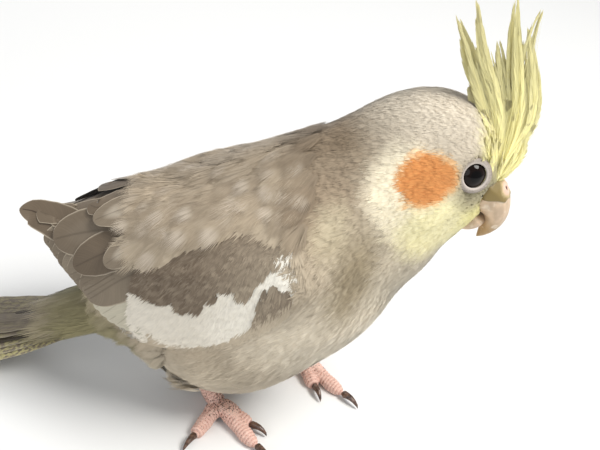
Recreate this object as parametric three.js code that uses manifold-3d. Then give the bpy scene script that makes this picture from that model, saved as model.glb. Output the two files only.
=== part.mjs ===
import * as THREE from 'three';
import { ParametricGeometry } from 'three/addons/geometries/ParametricGeometry.js';
import { mergeVertices } from 'three/addons/utils/BufferGeometryUtils.js';
import Module from 'manifold-3d';

// A life-size cockatiel that stands low on both feet, with its head bent forward and its tail
// laid back on the floor. Millimetres, +Z up. The bird faces +X, its left side is +Y, and the
// floor is z = 0.

const wasm = await Module();
wasm.setup();

// Driving dimensions

// Clearance between two pieces that touch.
const GAP = 0.3;
// The body's middle plane, and the head's, which is turned a little to the left.
const MIDDLE = 0;
const HEAD_SIDE = 2;

// The masses of body and plumage. Each is an ellipsoid: its centre, its half sizes along its own
// axis, across it and in depth, and the angle in degrees by which that axis rises to the front.
const MASSES = [
  { name: 'trunk', at: [-8, MIDDLE, 46], half: [41, 25, 31.5], raised: 40 },
  { name: 'shoulders', at: [-2, MIDDLE, 65.5], half: [24, 23.5, 21], raised: 38 },
  { name: 'mantle', at: [-27, MIDDLE, 54], half: [28, 22, 17], raised: 33 },
  { name: 'belly', at: [-14, MIDDLE, 27], half: [23, 22, 21.5], raised: 20 },
  { name: 'rump', at: [-41, MIDDLE, 30], half: [16, 13, 11], raised: 28 },
  { name: 'neck', at: [13, 1, 77], half: [21, 18, 20], raised: 48 },
  { name: 'crop', at: [23, 1, 69], half: [14, 13, 14], raised: 40 },
  { name: 'skull', at: [26.5, HEAD_SIDE, 91.5], half: [20.5, 15.3, 18], raised: 5 },
  { name: 'face', at: [35.5, HEAD_SIDE, 82], half: [9.5, 12.5, 11], raised: -35 },
];
// How widely neighbouring masses flow into each other.
const BLEND = 9;
// The head narrows forward to the bill: where that starts, how far on it has grown to its full
// share, and that share.
const TAPER = { from: 28, over: 15, share: 0.95 };
// The line inside the bird from which its surface is cast outward.
const SPINE = [[-40, 0, 28], [-22, 0, 36], [-2, 0, 52], [14, 1, 74], [30, HEAD_SIDE, 90]];

// Sloping cuts that part head, neck and trunk, and each wing's coverts and flight feathers: a
// point on the cut and the rise of the way it faces.
const HEAD_CUT = { at: [21, 0, 82], raised: 40 };
const NECK_CUT = { at: [8, 0, 70], raised: 44 };
const COVERT_CUT = { at: [-30, 0, 51], raised: 72 };

// The eyeball, how far it stands out of the face, its place seen from the side, and the way it
// looks in degrees ahead of straight sideways.
const EYE = { ball: 4.8, proud: 1, at: [37, 92.5], ahead: 24 };

// Each half of the bill follows an arc seen from the side, in degrees above the arc's own level.
const UPPER_BILL = { centre: [40.4, 79.6], ridge: 11, width: 10.4, from: 88, to: -62, deep: 11.2 };
const LOWER_BILL = { centre: [39.6, 80.2], ridge: 7.6, width: 8.4, from: -30, to: -118, deep: 5 };

// A folded wing is a shell bent round the flank. Its edges are curves seen from the side, and
// the flank's own section, a half ellipse at each place along the bird, bends it.
const WING = {
  front: 5,
  tip: -76,
  // How far its face stands off the body, and how much lower the left wing tip lies.
  lift: 2.6,
  settle: 5,
  upper: [[5, 63], [-6, 77], [-24, 77], [-44, 68.5], [-55, 62], [-64, 56.5], [-76, 54]],
  lower: [[5, 63], [-3, 46], [-14, 38], [-32, 28.5], [-48, 31], [-64, 43.5], [-76, 53]],
  flankMiddle: [[5, 62], [-14, 46], [-34, 38], [-55, 40], [-64, 42], [-76, 46]],
  flankDepth: [[5, 26], [-14, 38], [-34, 34.5], [-55, 22.5], [-64, 15], [-76, 8]],
  flankWidth: [[5, 24], [-14, 27.6], [-34, 25], [-52, 19], [-64, 13], [-76, 7]],
  thickness: [[5, 6], [-30, 6], [-50, 3], [-76, 1.4]],
};

// The tail: its middle line from the rump down to the floor, and its feathers in pairs from the
// middle outward.
const TAIL = {
  line: [[-42, -2, 29], [-56, -3.5, 20.5], [-74, -4.5, 10.5], [-96, -5.5, 3.9],
    [-128, -7, 2.4], [-192, -10, 1.1]],
  pairs: 4,
  featherWidth: 12,
  featherThick: 0.8,
  fan: 1.9,
  // The outermost feather's length as a share of the middle pair's.
  shortest: 0.52,
  // The thick base of coverts: half width, half depth and how much of the line it covers.
  base: { across: 9.5, deep: 5.4, reach: 0.34 },
};

// The crest stands on the crown between two angles seen from the skull's centre.
const CREST = {
  count: 9,
  rearRoot: 64,
  frontRoot: 12,
  rearTip: [22.5, 130],
  frontTip: [38.8, 130.5],
  // Where along the row the longest feather stands, and how far it tops the others.
  longest: 0.62,
  topRise: 12,
  sunk: 1,
  bend: 0.055,
  width: 5.4,
  thick: 0.7,
  spread: 5,
  // The low ridge of skin that carries the feathers.
  ridge: { across: 3.2, deep: 1.9 },
};

// Feet: the hub where the toes meet, the ankle, and the way each toe points, in degrees from +X,
// from the first toe to the fourth. Two toes point forward and two back.
const FEET = {
  right: { hub: [-12.5, -11], ankle: [-25, -9, 16], toes: [128, -24, -44, -112] },
  left: { hub: [10.5, 15.5], ankle: [-1, 12, 18], toes: [-160, -64, -38, 84] },
};
const TOES = [
  { length: 8.5, claw: 5 },
  { length: 12, claw: 5 },
  { length: 18.5, claw: 6 },
  { length: 14.5, claw: 5.5 },
];
const TOE = { thick: 5.1, thin: 3.5 };
const CLAW = { thick: 2.2, root: 1.6 };
const SHANK = { thick: 4.6, foot: 5 };

const COLOURS = {
  plumage: 0xa89a8a,
  head: 0xb5a794,
  wing: 0x8f8175,
  tail: 0x9b907d,
  crest: 0xe6d867,
  bill: 0xc2a58e,
  eye: 0x1c1210,
  foot: 0xd19a8c,
  claw: 0x6a5248,
};
const FEATHERED = 0.9;
const HORN = 0.45;
const SCALY = 0.6;
const WET = 0.1;

const ACROSS = new THREE.Vector3(0, 1, 0);

// Solids: joining and cutting

// A closed mesh that keeps only its shared corner points, without triangles shrunk to a line.
function welded(geometry) {
  const bare = geometry.clone();
  bare.deleteAttribute('normal');
  bare.deleteAttribute('uv');
  const merged = mergeVertices(bare, 1e-4);
  const corners = merged.index.array;
  const kept = [];
  for (let i = 0; i < corners.length; i += 3) {
    const [a, b, c] = corners.slice(i, i + 3);
    if (a !== b && b !== c && c !== a) kept.push(a, b, c);
  }
  merged.setIndex(kept);
  return merged;
}

function solid(geometry) {
  const mesh = welded(geometry);
  return new wasm.Manifold(new wasm.Mesh({
    numProp: 3,
    vertProperties: new Float32Array(mesh.attributes.position.array),
    triVerts: new Uint32Array(mesh.index.array),
  }));
}

function geometryOf(body) {
  const mesh = body.getMesh();
  const geometry = new THREE.BufferGeometry();
  geometry.setAttribute('position', new THREE.BufferAttribute(mesh.vertProperties, 3));
  geometry.setIndex(new THREE.BufferAttribute(mesh.triVerts, 1));
  geometry.computeVertexNormals();
  return geometry;
}

function union(bodies) {
  return bodies.reduce((sum, body) => sum.add(body));
}

// The main piece of a body, without slivers and sealed bubbles.
function mainPiece(body) {
  const pieces = body.decompose();
  return pieces.reduce((best, piece) => (piece.volume() > best.volume() ? piece : best));
}

// All that lies ahead of a sloping cut, or behind it with a gap left between.
function ahead(cut) {
  return halfSpace(cut, 1);
}

function behind(cut) {
  return halfSpace(cut, -1);
}

function halfSpace(cut, side) {
  const size = 400;
  const box = new THREE.BoxGeometry(size, size, size);
  box.translate(side * size / 2 - (side < 0 ? GAP : 0), 0, 0);
  box.rotateY(-THREE.MathUtils.degToRad(cut.raised));
  box.translate(...cut.at);
  return solid(box);
}

// Curves and limbs

function vector(place) {
  return new THREE.Vector3(...place);
}

function splineThrough(places) {
  return new THREE.CatmullRomCurve3(places.map(vector));
}

// A smooth function of one value through a few given points, in either order.
function profile(points) {
  const curve = new THREE.SplineCurve(points.map((point) => new THREE.Vector2(...point)));
  const samples = curve.getPoints(160).sort((a, b) => a.x - b.x);
  const last = samples[samples.length - 1];
  return (at) => {
    if (at <= samples[0].x) return samples[0].y;
    if (at >= last.x) return last.y;
    const next = samples.findIndex((sample) => sample.x >= at);
    const [low, high] = [samples[next - 1], samples[next]];
    return THREE.MathUtils.mapLinear(at, low.x, high.x, low.y, high.y);
  };
}

// 0 at both ends of a limb and 1 along most of it, so that a limb has round ends.
function rounded(v, share) {
  const near = Math.min(v, 1 - v);
  return near >= share ? 1 : Math.sqrt(1 - (1 - near / share) ** 2);
}

// A limb along a curve, with its half width across and its half depth as functions of place.
function limb(curve, across, depth, around, along, sideways) {
  return new ParametricGeometry((u, v, target) => {
    const way = curve.getTangentAt(v);
    const side = sideways.clone().addScaledVector(way, -sideways.dot(way)).normalize();
    const up = new THREE.Vector3().crossVectors(way, side);
    const angle = u * 2 * Math.PI;
    target.copy(curve.getPointAt(v))
      .addScaledVector(side, across(v) * Math.cos(angle))
      .addScaledVector(up, depth(v) * Math.sin(angle));
  }, around, along);
}

// A thin blade along a curve: one long feather.
function feather(curve, halfWidth, thick, along, sideways) {
  const depth = (v) => thick / 2 * rounded(v, 0.03);
  return solid(limb(curve, halfWidth, depth, 4, along, sideways));
}

// Body

const masses = MASSES.map((mass) => ({
  ...mass,
  centre: vector(mass.at),
  level: new THREE.Quaternion().setFromAxisAngle(ACROSS, THREE.MathUtils.degToRad(mass.raised)),
}));
const skull = masses.find((mass) => mass.name === 'skull');

function massDistance(mass, point) {
  const local = point.clone().sub(mass.centre).applyQuaternion(mass.level);
  const [a, b, c] = mass.half;
  const near = Math.hypot(local.x / a, local.y / b, local.z / c);
  const far = Math.hypot(local.x / a ** 2, local.y / b ** 2, local.z / c ** 2);
  return far > 0 ? near * (near - 1) / far : -Math.min(a, b, c);
}

// Signed distance to the plumage, with the masses flowing into each other.
function plumageDistance(point) {
  const forward = Math.max(0, (point.x - TAPER.from) / TAPER.over);
  const widened = point.clone();
  widened.y = HEAD_SIDE + (point.y - HEAD_SIDE) * (1 + TAPER.share * forward ** 2);
  return masses.map((mass) => massDistance(mass, widened)).reduce((distance, next) => {
    const overlap = Math.max(BLEND - Math.abs(distance - next), 0);
    return Math.min(distance, next) - overlap ** 2 / (4 * BLEND);
  });
}

// The point where a straight line out of the body passes a given distance from its surface.
function castOut(from, direction, distance) {
  let inside = 0;
  let outside = 80;
  for (let step = 0; step < 32; step += 1) {
    const middle = (inside + outside) / 2;
    const point = from.clone().addScaledVector(direction, middle);
    if (plumageDistance(point) < distance) inside = middle;
    else outside = middle;
  }
  return from.clone().addScaledVector(direction, inside);
}

// The whole body as rings round the spine, with round ends, grown by a distance.
function plumage(grow) {
  const spine = splineThrough(SPINE);
  const cap = 0.16;
  return solid(new ParametricGeometry((u, v, target) => {
    const place = THREE.MathUtils.clamp((v - cap) / (1 - 2 * cap), 0, 1);
    const beyond = Math.max(cap - v, v - (1 - cap), 0) / cap;
    const tilt = Math.sign(v - 0.5) * beyond * Math.PI / 2;
    const forward = spine.getTangentAt(place);
    const up = new THREE.Vector3().crossVectors(forward, ACROSS).normalize();
    const side = new THREE.Vector3().crossVectors(up, forward);
    const angle = u * 2 * Math.PI;
    const round = Math.abs(beyond - 1) < 1e-9 ? 0 : Math.cos(tilt);
    const direction = side.multiplyScalar(Math.cos(angle) * round)
      .addScaledVector(up, Math.sin(angle) * round)
      .addScaledVector(forward, Math.sin(tilt)).normalize();
    target.copy(castOut(spine.getPointAt(place), direction, grow));
  }, 24, 30));
}

// Head: eyes, bill and crest

// The eyeball's middle, set into the face behind the place where the eye shows.
function eyePlace(side) {
  const turn = THREE.MathUtils.degToRad(EYE.ahead);
  const look = new THREE.Vector3(Math.sin(turn), side * Math.cos(turn), 0);
  const middle = new THREE.Vector3(EYE.at[0], HEAD_SIDE, EYE.at[1]);
  const face = castOut(middle, new THREE.Vector3(0, side, 0), 0);
  return face.addScaledVector(look, EYE.proud - EYE.ball);
}

function eyeBall(grow) {
  return new THREE.SphereGeometry(EYE.ball + grow, 14, 10);
}

function socket(side) {
  return solid(eyeBall(GAP).translate(...eyePlace(side).toArray()));
}

// One half of the bill: a section that swings round the arc's centre and narrows to a point.
function horn(shape) {
  return solid(new ParametricGeometry((u, v, target) => {
    const swing = THREE.MathUtils.degToRad(THREE.MathUtils.lerp(shape.from, shape.to, v));
    const start = Math.min(1, 3 * Math.sqrt(v));
    const halfDeep = shape.deep / 2 * Math.sqrt(1 - v) * start;
    const halfWide = shape.width / 2 * (1 - v ** 2.4) ** 0.8 * start;
    const turn = -u * 2 * Math.PI;
    const reach = shape.ridge - halfDeep * (1 - Math.cos(turn));
    target.set(
      shape.centre[0] + reach * Math.cos(swing),
      HEAD_SIDE + halfWide * Math.sin(turn),
      shape.centre[1] + reach * Math.sin(swing));
  }, 12, 14));
}

// The same half of the bill with room round it on every side.
function roomFor(shape) {
  const room = 1.4 * GAP;
  const turn = 2 * THREE.MathUtils.radToDeg(room / shape.ridge);
  return horn({
    ...shape,
    ridge: shape.ridge + room,
    deep: shape.deep + 2 * room,
    width: shape.width + 2 * room,
    from: shape.from + turn,
    to: shape.to - turn,
  });
}

// A point of the head's middle line, at an angle seen from the skull's centre.
function crown(angle) {
  const turn = THREE.MathUtils.degToRad(angle);
  return castOut(skull.centre, new THREE.Vector3(Math.cos(turn), 0, Math.sin(turn)), 0);
}

// Feathers that lean apart to the left and right in turn, on a ridge that joins them.
function crest() {
  const feathers = [];
  for (let i = 0; i < CREST.count; i += 1) {
    const share = i / (CREST.count - 1);
    const side = i % 2 === 0 ? -1 : 1;
    const root = crown(THREE.MathUtils.lerp(CREST.rearRoot, CREST.frontRoot, share));
    root.addScaledVector(root.clone().sub(skull.centre).normalize(), -CREST.sunk);
    root.y = HEAD_SIDE + side * CREST.spread / 4;
    const rise = CREST.topRise * Math.max(0, 1 - ((share - CREST.longest) / 0.5) ** 2);
    const tip = new THREE.Vector3(
      THREE.MathUtils.lerp(CREST.rearTip[0], CREST.frontTip[0], share),
      HEAD_SIDE + side * CREST.spread * (1 - 0.4 * share),
      THREE.MathUtils.lerp(CREST.rearTip[1], CREST.frontTip[1], share) + rise);
    const bend = new THREE.Vector3(CREST.bend, 0, CREST.bend * share);
    const middle = root.clone().lerp(tip, 0.52).addScaledVector(bend, root.distanceTo(tip));
    const halfWidth = (v) => CREST.width / 2 * rounded(Math.min(v, 0.5), 0.16) * (1 - v) ** 0.75;
    const curve = new THREE.CatmullRomCurve3([root, middle, tip]);
    feathers.push(feather(curve, halfWidth, CREST.thick, 6, new THREE.Vector3(1, 0, 0.35)));
  }
  const row = [0, 0.33, 0.67, 1].map((share) => crown(
    THREE.MathUtils.lerp(CREST.rearRoot + 8, CREST.frontRoot - 4, share)));
  const ridge = limb(new THREE.CatmullRomCurve3(row), (v) => CREST.ridge.across * rounded(v, 0.2),
    (v) => CREST.ridge.deep * rounded(v, 0.2), 8, 8, ACROSS);
  return union([solid(ridge), ...feathers]);
}

// Wings

const wingEdge = Object.fromEntries(
  ['upper', 'lower', 'flankMiddle', 'flankDepth', 'flankWidth', 'thickness']
    .map((name) => [name, profile(WING[name])]));

// How far out to the side the folded wing's outer face lies, at a place seen from the side.
function flankOut(x, z, sine) {
  const resting = wingEdge.flankWidth(x) * Math.sqrt(1 - sine ** 2);
  const middle = new THREE.Vector3(x, MIDDLE, z);
  if (plumageDistance(middle) > WING.lift) return resting;
  return Math.max(resting, castOut(middle, ACROSS, WING.lift).y);
}

function foldedWing(side) {
  const settle = side > 0 ? WING.settle : 0;
  return solid(new ParametricGeometry((u, v, target) => {
    const x = THREE.MathUtils.lerp(WING.front, WING.tip, v);
    const angle = side * u * 2 * Math.PI;
    const z = THREE.MathUtils.lerp(
      wingEdge.upper(x), wingEdge.lower(x), (1 - Math.cos(angle)) / 2);
    const swell = Math.sign(Math.sin(angle)) * Math.abs(Math.sin(angle)) ** 0.6;
    const taper = Math.sqrt(1 - Math.abs(2 * v - 1) ** 6);
    const depth = wingEdge.thickness(x) * taper * (1 - swell) / 2;
    const sine = THREE.MathUtils.clamp(
      (z - wingEdge.flankMiddle(x)) / wingEdge.flankDepth(x), -1, 1);
    const out = Math.max(flankOut(x, z, sine) - depth, GAP);
    const down = settle * Math.max(0, (v - 0.6) / 0.4) ** 2;
    target.set(x + down * 0.6, side * out, z - depth * sine - down);
  }, 14, 16));
}

// Tail

// One tail feather: it fans out from the tail's middle line and lies no lower than the floor.
function tailFeather(line, pair, side) {
  const reach = THREE.MathUtils.lerp(1, TAIL.shortest, (pair / (TAIL.pairs - 1)) ** 0.8);
  const level = (side < 0 ? 0.28 : 0) + (TAIL.pairs * 0.3 - pair * 0.34) - 0.6;
  const points = [];
  for (let step = 0; step <= 10; step += 1) {
    const place = line.getPointAt(reach * step / 10);
    place.y += side * (1 + pair * TAIL.fan) * Math.min(1, 0.35 + step * 0.13);
    place.z = Math.max(place.z + level, TAIL.featherThick * 0.4);
    points.push(place);
  }
  const halfWidth = (v) => TAIL.featherWidth / 2 * (0.5 + 0.5 * Math.min(1, v * 2.2))
    * rounded(Math.max(v, 0.5), 0.3) * rounded(Math.min(v, 0.5), 0.03);
  const curve = new THREE.CatmullRomCurve3(points);
  return feather(curve, halfWidth, TAIL.featherThick, 7, ACROSS);
}

function tail() {
  const line = splineThrough(TAIL.line);
  const feathers = [];
  for (let pair = 0; pair < TAIL.pairs; pair += 1) {
    for (const side of [-1, 1]) feathers.push(tailFeather(line, pair, side));
  }
  const { across, deep, reach } = TAIL.base;
  const row = [0, 0.4, 1].map((share) => line.getPointAt(share * reach));
  const base = limb(new THREE.CatmullRomCurve3(row), (v) => across * rounded(v, 0.3),
    (v) => deep * rounded(v, 0.4) * (1 - 0.7 * v), 10, 8, ACROSS);
  return union([solid(base), ...feathers]);
}

// Legs and feet

// The shank runs from the ankle, hidden in the belly's plumage, down to the hub of the foot.
function shank(foot, grow) {
  const hub = new THREE.Vector3(...foot.hub, 2.6);
  const ankle = vector(foot.ankle);
  const middle = ankle.clone().lerp(hub, 0.5).setZ(ankle.z / 2 + 2.5);
  const curve = new THREE.CatmullRomCurve3([ankle, middle, hub]);
  const thick = (v) => (SHANK.thick / 2 * (1 + 0.25 * (2 * v - 1) ** 2) + grow) * rounded(v, 0.1);
  return solid(limb(curve, thick, thick, 8, 6, ACROSS));
}

function toeWay(foot, number) {
  return THREE.MathUtils.degToRad(foot.toes[number]);
}

// A point over a toe: how far it is from the hub and how high.
function toePoint(foot, number, reach, height) {
  const turn = toeWay(foot, number);
  return new THREE.Vector3(
    foot.hub[0] + Math.cos(turn) * reach, foot.hub[1] + Math.sin(turn) * reach, height);
}

// A toe lies along the floor, a little swollen at each joint.
function toe(foot, number) {
  const { length } = TOES[number];
  const curve = new THREE.CatmullRomCurve3([
    toePoint(foot, number, -0.5, TOE.thick * 0.7),
    toePoint(foot, number, length * 0.35, TOE.thick * 0.5),
    toePoint(foot, number, length * 0.7, TOE.thin * 0.47),
    toePoint(foot, number, length, TOE.thin * 0.44)]);
  const half = (v) => THREE.MathUtils.lerp(TOE.thick, TOE.thin, v) / 2
    * (1 + 0.09 * Math.cos(v * length * 1.4)) * rounded(v, 0.12);
  const turn = toeWay(foot, number);
  const sideways = new THREE.Vector3(-Math.sin(turn), Math.cos(turn), 0);
  return solid(limb(curve, half, half, 7, 7, sideways));
}

// A claw points along +X from the end of its toe and curves down to the floor.
function clawGeometry(number, grow) {
  const reach = TOES[number].claw;
  const curve = splineThrough([
    [-CLAW.root, 0, 1.5], [reach * 0.35, 0, 2.3], [reach * 0.8, 0, 1.5], [reach, 0, 0.35]]);
  const half = (v) => (CLAW.thick / 2 * (1 - v ** 1.6) + 0.12) * rounded(v, 0.14)
    + grow * rounded(v, 0.1);
  return limb(curve, half, half, 6, 6, ACROSS);
}

function clawRoom(foot, number) {
  const geometry = clawGeometry(number, GAP);
  geometry.rotateZ(toeWay(foot, number));
  geometry.translate(...toePoint(foot, number, TOES[number].length, 0).toArray());
  return solid(geometry);
}

// The bird

const bird = new THREE.Group();
const headGroup = new THREE.Group();
const bodyGroup = new THREE.Group();
const legGroup = new THREE.Group();
bird.add(headGroup, bodyGroup, legGroup);

function addPart(group, name, geometry, colour, roughness) {
  const material = new THREE.MeshStandardMaterial({ color: colour, roughness, metalness: 0 });
  const mesh = new THREE.Mesh(geometry, material);
  mesh.name = name;
  group.add(mesh);
  return mesh;
}

const SIDES = { right: -1, left: 1 };
const NUMBERS = [0, 1, 2, 3];
const floor = halfSpace({ at: [0, 0, GAP], raised: 90 }, -1);
const body = plumage(0);
const bodyRoom = plumage(GAP);

const upperRoom = roomFor(UPPER_BILL);
const sockets = union([upperRoom, roomFor(LOWER_BILL), socket(-1), socket(1)]);
const headPart = body.intersect(ahead(HEAD_CUT)).subtract(sockets);
addPart(headGroup, 'head', geometryOf(headPart), COLOURS.head, FEATHERED);
addPart(headGroup, 'upper_bill', geometryOf(horn(UPPER_BILL)), COLOURS.bill, HORN);
const lowerBill = horn(LOWER_BILL).subtract(upperRoom);
addPart(headGroup, 'lower_bill', geometryOf(lowerBill), COLOURS.bill, HORN);
const crestPart = mainPiece(crest().subtract(bodyRoom));
addPart(headGroup, 'crest', geometryOf(crestPart), COLOURS.crest, FEATHERED);
for (const [name, side] of Object.entries(SIDES)) {
  const eye = addPart(headGroup, `eye_${name}`, eyeBall(0), COLOURS.eye, WET);
  eye.position.copy(eyePlace(side));
}

const neckPart = body.intersect(behind(HEAD_CUT)).intersect(ahead(NECK_CUT));
addPart(bodyGroup, 'neck', geometryOf(neckPart), COLOURS.plumage, FEATHERED);
const legRoom = union(Object.values(FEET).map((foot) => shank(foot, GAP)));
const trunkPart = body.intersect(behind(NECK_CUT)).subtract(legRoom);
addPart(bodyGroup, 'trunk', geometryOf(trunkPart), COLOURS.plumage, FEATHERED);
const tailPart = mainPiece(tail().subtract(bodyRoom).subtract(floor));
addPart(bodyGroup, 'tail', geometryOf(tailPart), COLOURS.tail, FEATHERED);
for (const [name, side] of Object.entries(SIDES)) {
  const folded = foldedWing(side).subtract(bodyRoom);
  const coverts = mainPiece(folded.intersect(ahead(COVERT_CUT)));
  addPart(bodyGroup, `wing_${name}`, geometryOf(coverts), COLOURS.wing, FEATHERED);
  const quills = mainPiece(folded.intersect(behind(COVERT_CUT)));
  addPart(bodyGroup, `flight_feathers_${name}`, geometryOf(quills), COLOURS.wing, FEATHERED);
}

const footTop = { at: [0, 0, SHANK.foot], raised: 90 };
for (const [name, foot] of Object.entries(FEET)) {
  const leg = shank(foot, 0);
  const legPart = leg.intersect(ahead(footTop));
  addPart(legGroup, `leg_${name}`, geometryOf(legPart), COLOURS.foot, SCALY);
  const clawRooms = union(NUMBERS.map((number) => clawRoom(foot, number)));
  const footPart = union([leg, ...NUMBERS.map((number) => toe(foot, number))])
    .intersect(behind(footTop)).subtract(floor).subtract(clawRooms).subtract(bodyRoom);
  addPart(legGroup, `foot_${name}`, geometryOf(footPart), COLOURS.foot, SCALY);
  for (const number of NUMBERS) {
    const claw = addPart(
      legGroup, `claw_${name}_${number + 1}`, clawGeometry(number, 0), COLOURS.claw, HORN);
    claw.position.copy(toePoint(foot, number, TOES[number].length, 0));
    claw.rotation.z = toeWay(foot, number);
  }
}

// The origin is on the floor under the middle of the bird's outer box.
const middle = new THREE.Box3().setFromObject(bird).getCenter(new THREE.Vector3());
bird.position.set(-middle.x, -middle.y, 0);

export default bird;
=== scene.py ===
"""A cockatiel, life size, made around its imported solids. Plan measures are millimetres."""

import math
from contextlib import contextmanager

import bpy
import numpy as np
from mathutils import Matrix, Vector
from mathutils.bvhtree import BVHTree


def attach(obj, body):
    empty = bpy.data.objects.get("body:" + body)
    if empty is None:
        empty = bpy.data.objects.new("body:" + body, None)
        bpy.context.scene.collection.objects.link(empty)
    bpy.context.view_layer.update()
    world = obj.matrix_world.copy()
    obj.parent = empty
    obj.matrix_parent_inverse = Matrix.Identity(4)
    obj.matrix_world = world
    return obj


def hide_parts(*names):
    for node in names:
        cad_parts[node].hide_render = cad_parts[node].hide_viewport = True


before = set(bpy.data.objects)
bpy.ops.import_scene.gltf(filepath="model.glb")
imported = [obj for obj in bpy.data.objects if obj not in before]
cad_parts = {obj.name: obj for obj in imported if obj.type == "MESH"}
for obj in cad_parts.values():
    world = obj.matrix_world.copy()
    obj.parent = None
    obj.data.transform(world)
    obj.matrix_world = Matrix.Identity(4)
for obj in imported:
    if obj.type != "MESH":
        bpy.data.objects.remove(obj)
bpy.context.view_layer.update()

MM = 0.001
# The plan's own zero, on the floor under the trunk, seen from the model's origin.
PLAN_ZERO = np.array([70.3044, -2.7671, 0.0])
# The head's middle plane lies this far to the bird's left.
HEAD_SIDE = 2.0
BILL_BASE = np.array([41.0, HEAD_SIDE, 85.0])
# The line that the lie of the coat follows, from the bill to the root of the tail.
LIE_LINE = np.array([
    [43, 2, 84], [27, 2, 91], [12, 1, 78], [-3, 0, 66], [-22, 0, 52], [-40, -1, 36], [-54, -3, 22],
], float)
# The slope that parts head from neck: a point on it and the way it faces.
HEAD_CUT = np.array([21.0, 0.0, 82.0])
HEAD_AXIS = np.array([math.cos(math.radians(40)), 0.0, math.sin(math.radians(40))])


# Plan and place


def metres(points):
    """Plan millimetres as places in the model."""
    return (np.asarray(points, float) + PLAN_ZERO) * MM


def plan(points):
    """Places in the model as plan millimetres."""
    return np.asarray(points, float) / MM - PLAN_ZERO


def colour(code):
    """A screen colour code such as c0b4a0 as linear light."""
    parts = [int(code[i : i + 2], 16) / 255 for i in (0, 2, 4)]
    return [c / 12.92 if c <= 0.04045 else ((c + 0.055) / 1.055) ** 2.4 for c in parts]


def unit(vectors):
    return vectors / np.maximum(np.linalg.norm(vectors, axis=-1, keepdims=True), 1e-12)


def smooth(low, high, value):
    t = np.clip((value - low) / (high - low), 0, 1)
    return t * t * (3 - 2 * t)


# Camera, light and floor

CAMERA_PLACE = (53.83, -219.04, 210.0)
LOOK = Vector((0.0578, 0.8261, -0.5606))
CAMERA_ROLL = math.radians(14.0)
LENS, SENSOR = 58.5, 36
# Each soft light's place, size, watts and tint. All of them aim at the bird's middle.
LIGHTS = {
    "key": ((0.5, -0.1, 0.8), 0.45, 9.0, (1.0, 0.985, 0.95)),
    "fill": ((-0.35, -0.75, 0.45), 0.8, 2.6, (0.95, 0.97, 1.0)),
    "back": ((-0.3, 0.7, 0.55), 0.6, 1.8, (1.0, 1.0, 1.0)),
}
LIT_MIDDLE = Vector((0.06, 0.0, 0.05))


def set_camera():
    right = LOOK.cross(Vector((0, 0, 1))).normalized()
    up = right.cross(LOOK).normalized()
    x_axis = right * math.cos(CAMERA_ROLL) + up * math.sin(CAMERA_ROLL)
    y_axis = up * math.cos(CAMERA_ROLL) - right * math.sin(CAMERA_ROLL)
    bpy.ops.object.camera_add(location=[c * MM for c in CAMERA_PLACE])
    camera = bpy.context.object
    camera.name = "photo_camera"
    turn = camera.matrix_world.copy()
    for row in range(3):
        turn[row][0], turn[row][1], turn[row][2] = x_axis[row], y_axis[row], -LOOK[row]
    camera.matrix_world = turn
    camera.data.lens, camera.data.sensor_width, camera.data.clip_start = LENS, SENSOR, 0.01
    bpy.context.scene.camera = camera


def set_lights():
    for name, (place, size, watts, tint) in LIGHTS.items():
        bpy.ops.object.light_add(type="AREA", location=place)
        light = bpy.context.object
        light.name, light.data.shape = name, "DISK"
        light.data.size, light.data.energy, light.data.color = size, watts, tint
        light.rotation_euler = (LIT_MIDDLE - Vector(place)).to_track_quat("-Z", "Y").to_euler()
    world = bpy.data.worlds.new("pale_room")
    world.use_nodes = True
    sky = world.node_tree.nodes["Background"]
    sky.inputs["Color"].default_value = (0.93, 0.95, 1.0, 1)
    sky.inputs["Strength"].default_value = 0.45
    bpy.context.scene.world = world
    bpy.context.scene.view_settings.view_transform = "Standard"


def lay_floor():
    bpy.ops.mesh.primitive_plane_add(size=3.0, location=(0, 0, 0))
    floor = bpy.context.object
    floor.name = "floor"
    paper = bpy.data.materials.new("floor_paper")
    paper.use_nodes = True
    shader = paper.node_tree.nodes["Principled BSDF"]
    shader.inputs["Base Color"].default_value = (0.75, 0.75, 0.74, 1)
    shader.inputs["Roughness"].default_value = 0.8
    floor.data.materials.append(paper)


set_camera()
set_lights()
lay_floor()


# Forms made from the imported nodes

# Corners closer than this are one, in metres.
WELD = 1e-6


def read(data, key, width, kind=np.float32):
    values = np.empty(len(data) * width, kind)
    data.foreach_get(key, values)
    return values.reshape(-1, width) if width > 1 else values


def fill(data, key, values, kind=np.float32):
    data.foreach_set(key, np.ravel(values).astype(kind))


def spots(mesh):
    """A mesh's points in plan millimetres."""
    return plan(read(mesh.vertices, "co", 3))


def reshape(mesh, points):
    """Moves a mesh's points to places in the model."""
    fill(mesh.vertices, "co", points)
    mesh.update()


def noted(mesh, **values):
    """Keeps a number for each point of a mesh, for its material."""
    for title, numbers in values.items():
        fill(mesh.attributes.new(title, "FLOAT", "POINT").data, "value", numbers)


def select_only(piece):
    bpy.ops.object.select_all(action="DESELECT")
    piece.select_set(True)
    bpy.context.view_layer.objects.active = piece


@contextmanager
def edited(piece, action="SELECT"):
    """Holds a piece in edit mode, with all or nothing of it selected."""
    select_only(piece)
    bpy.ops.object.mode_set(mode="EDIT")
    bpy.ops.mesh.select_all(action=action)
    yield
    bpy.ops.object.mode_set(mode="OBJECT")


def worked(piece, kind, **settings):
    """Adds a modifier and applies it."""
    modifier = piece.modifiers.new(kind.lower(), kind)
    for key, value in settings.items():
        setattr(modifier, key, value)
    bpy.context.view_layer.objects.active = piece
    bpy.ops.object.modifier_apply(modifier=modifier.name)


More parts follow.
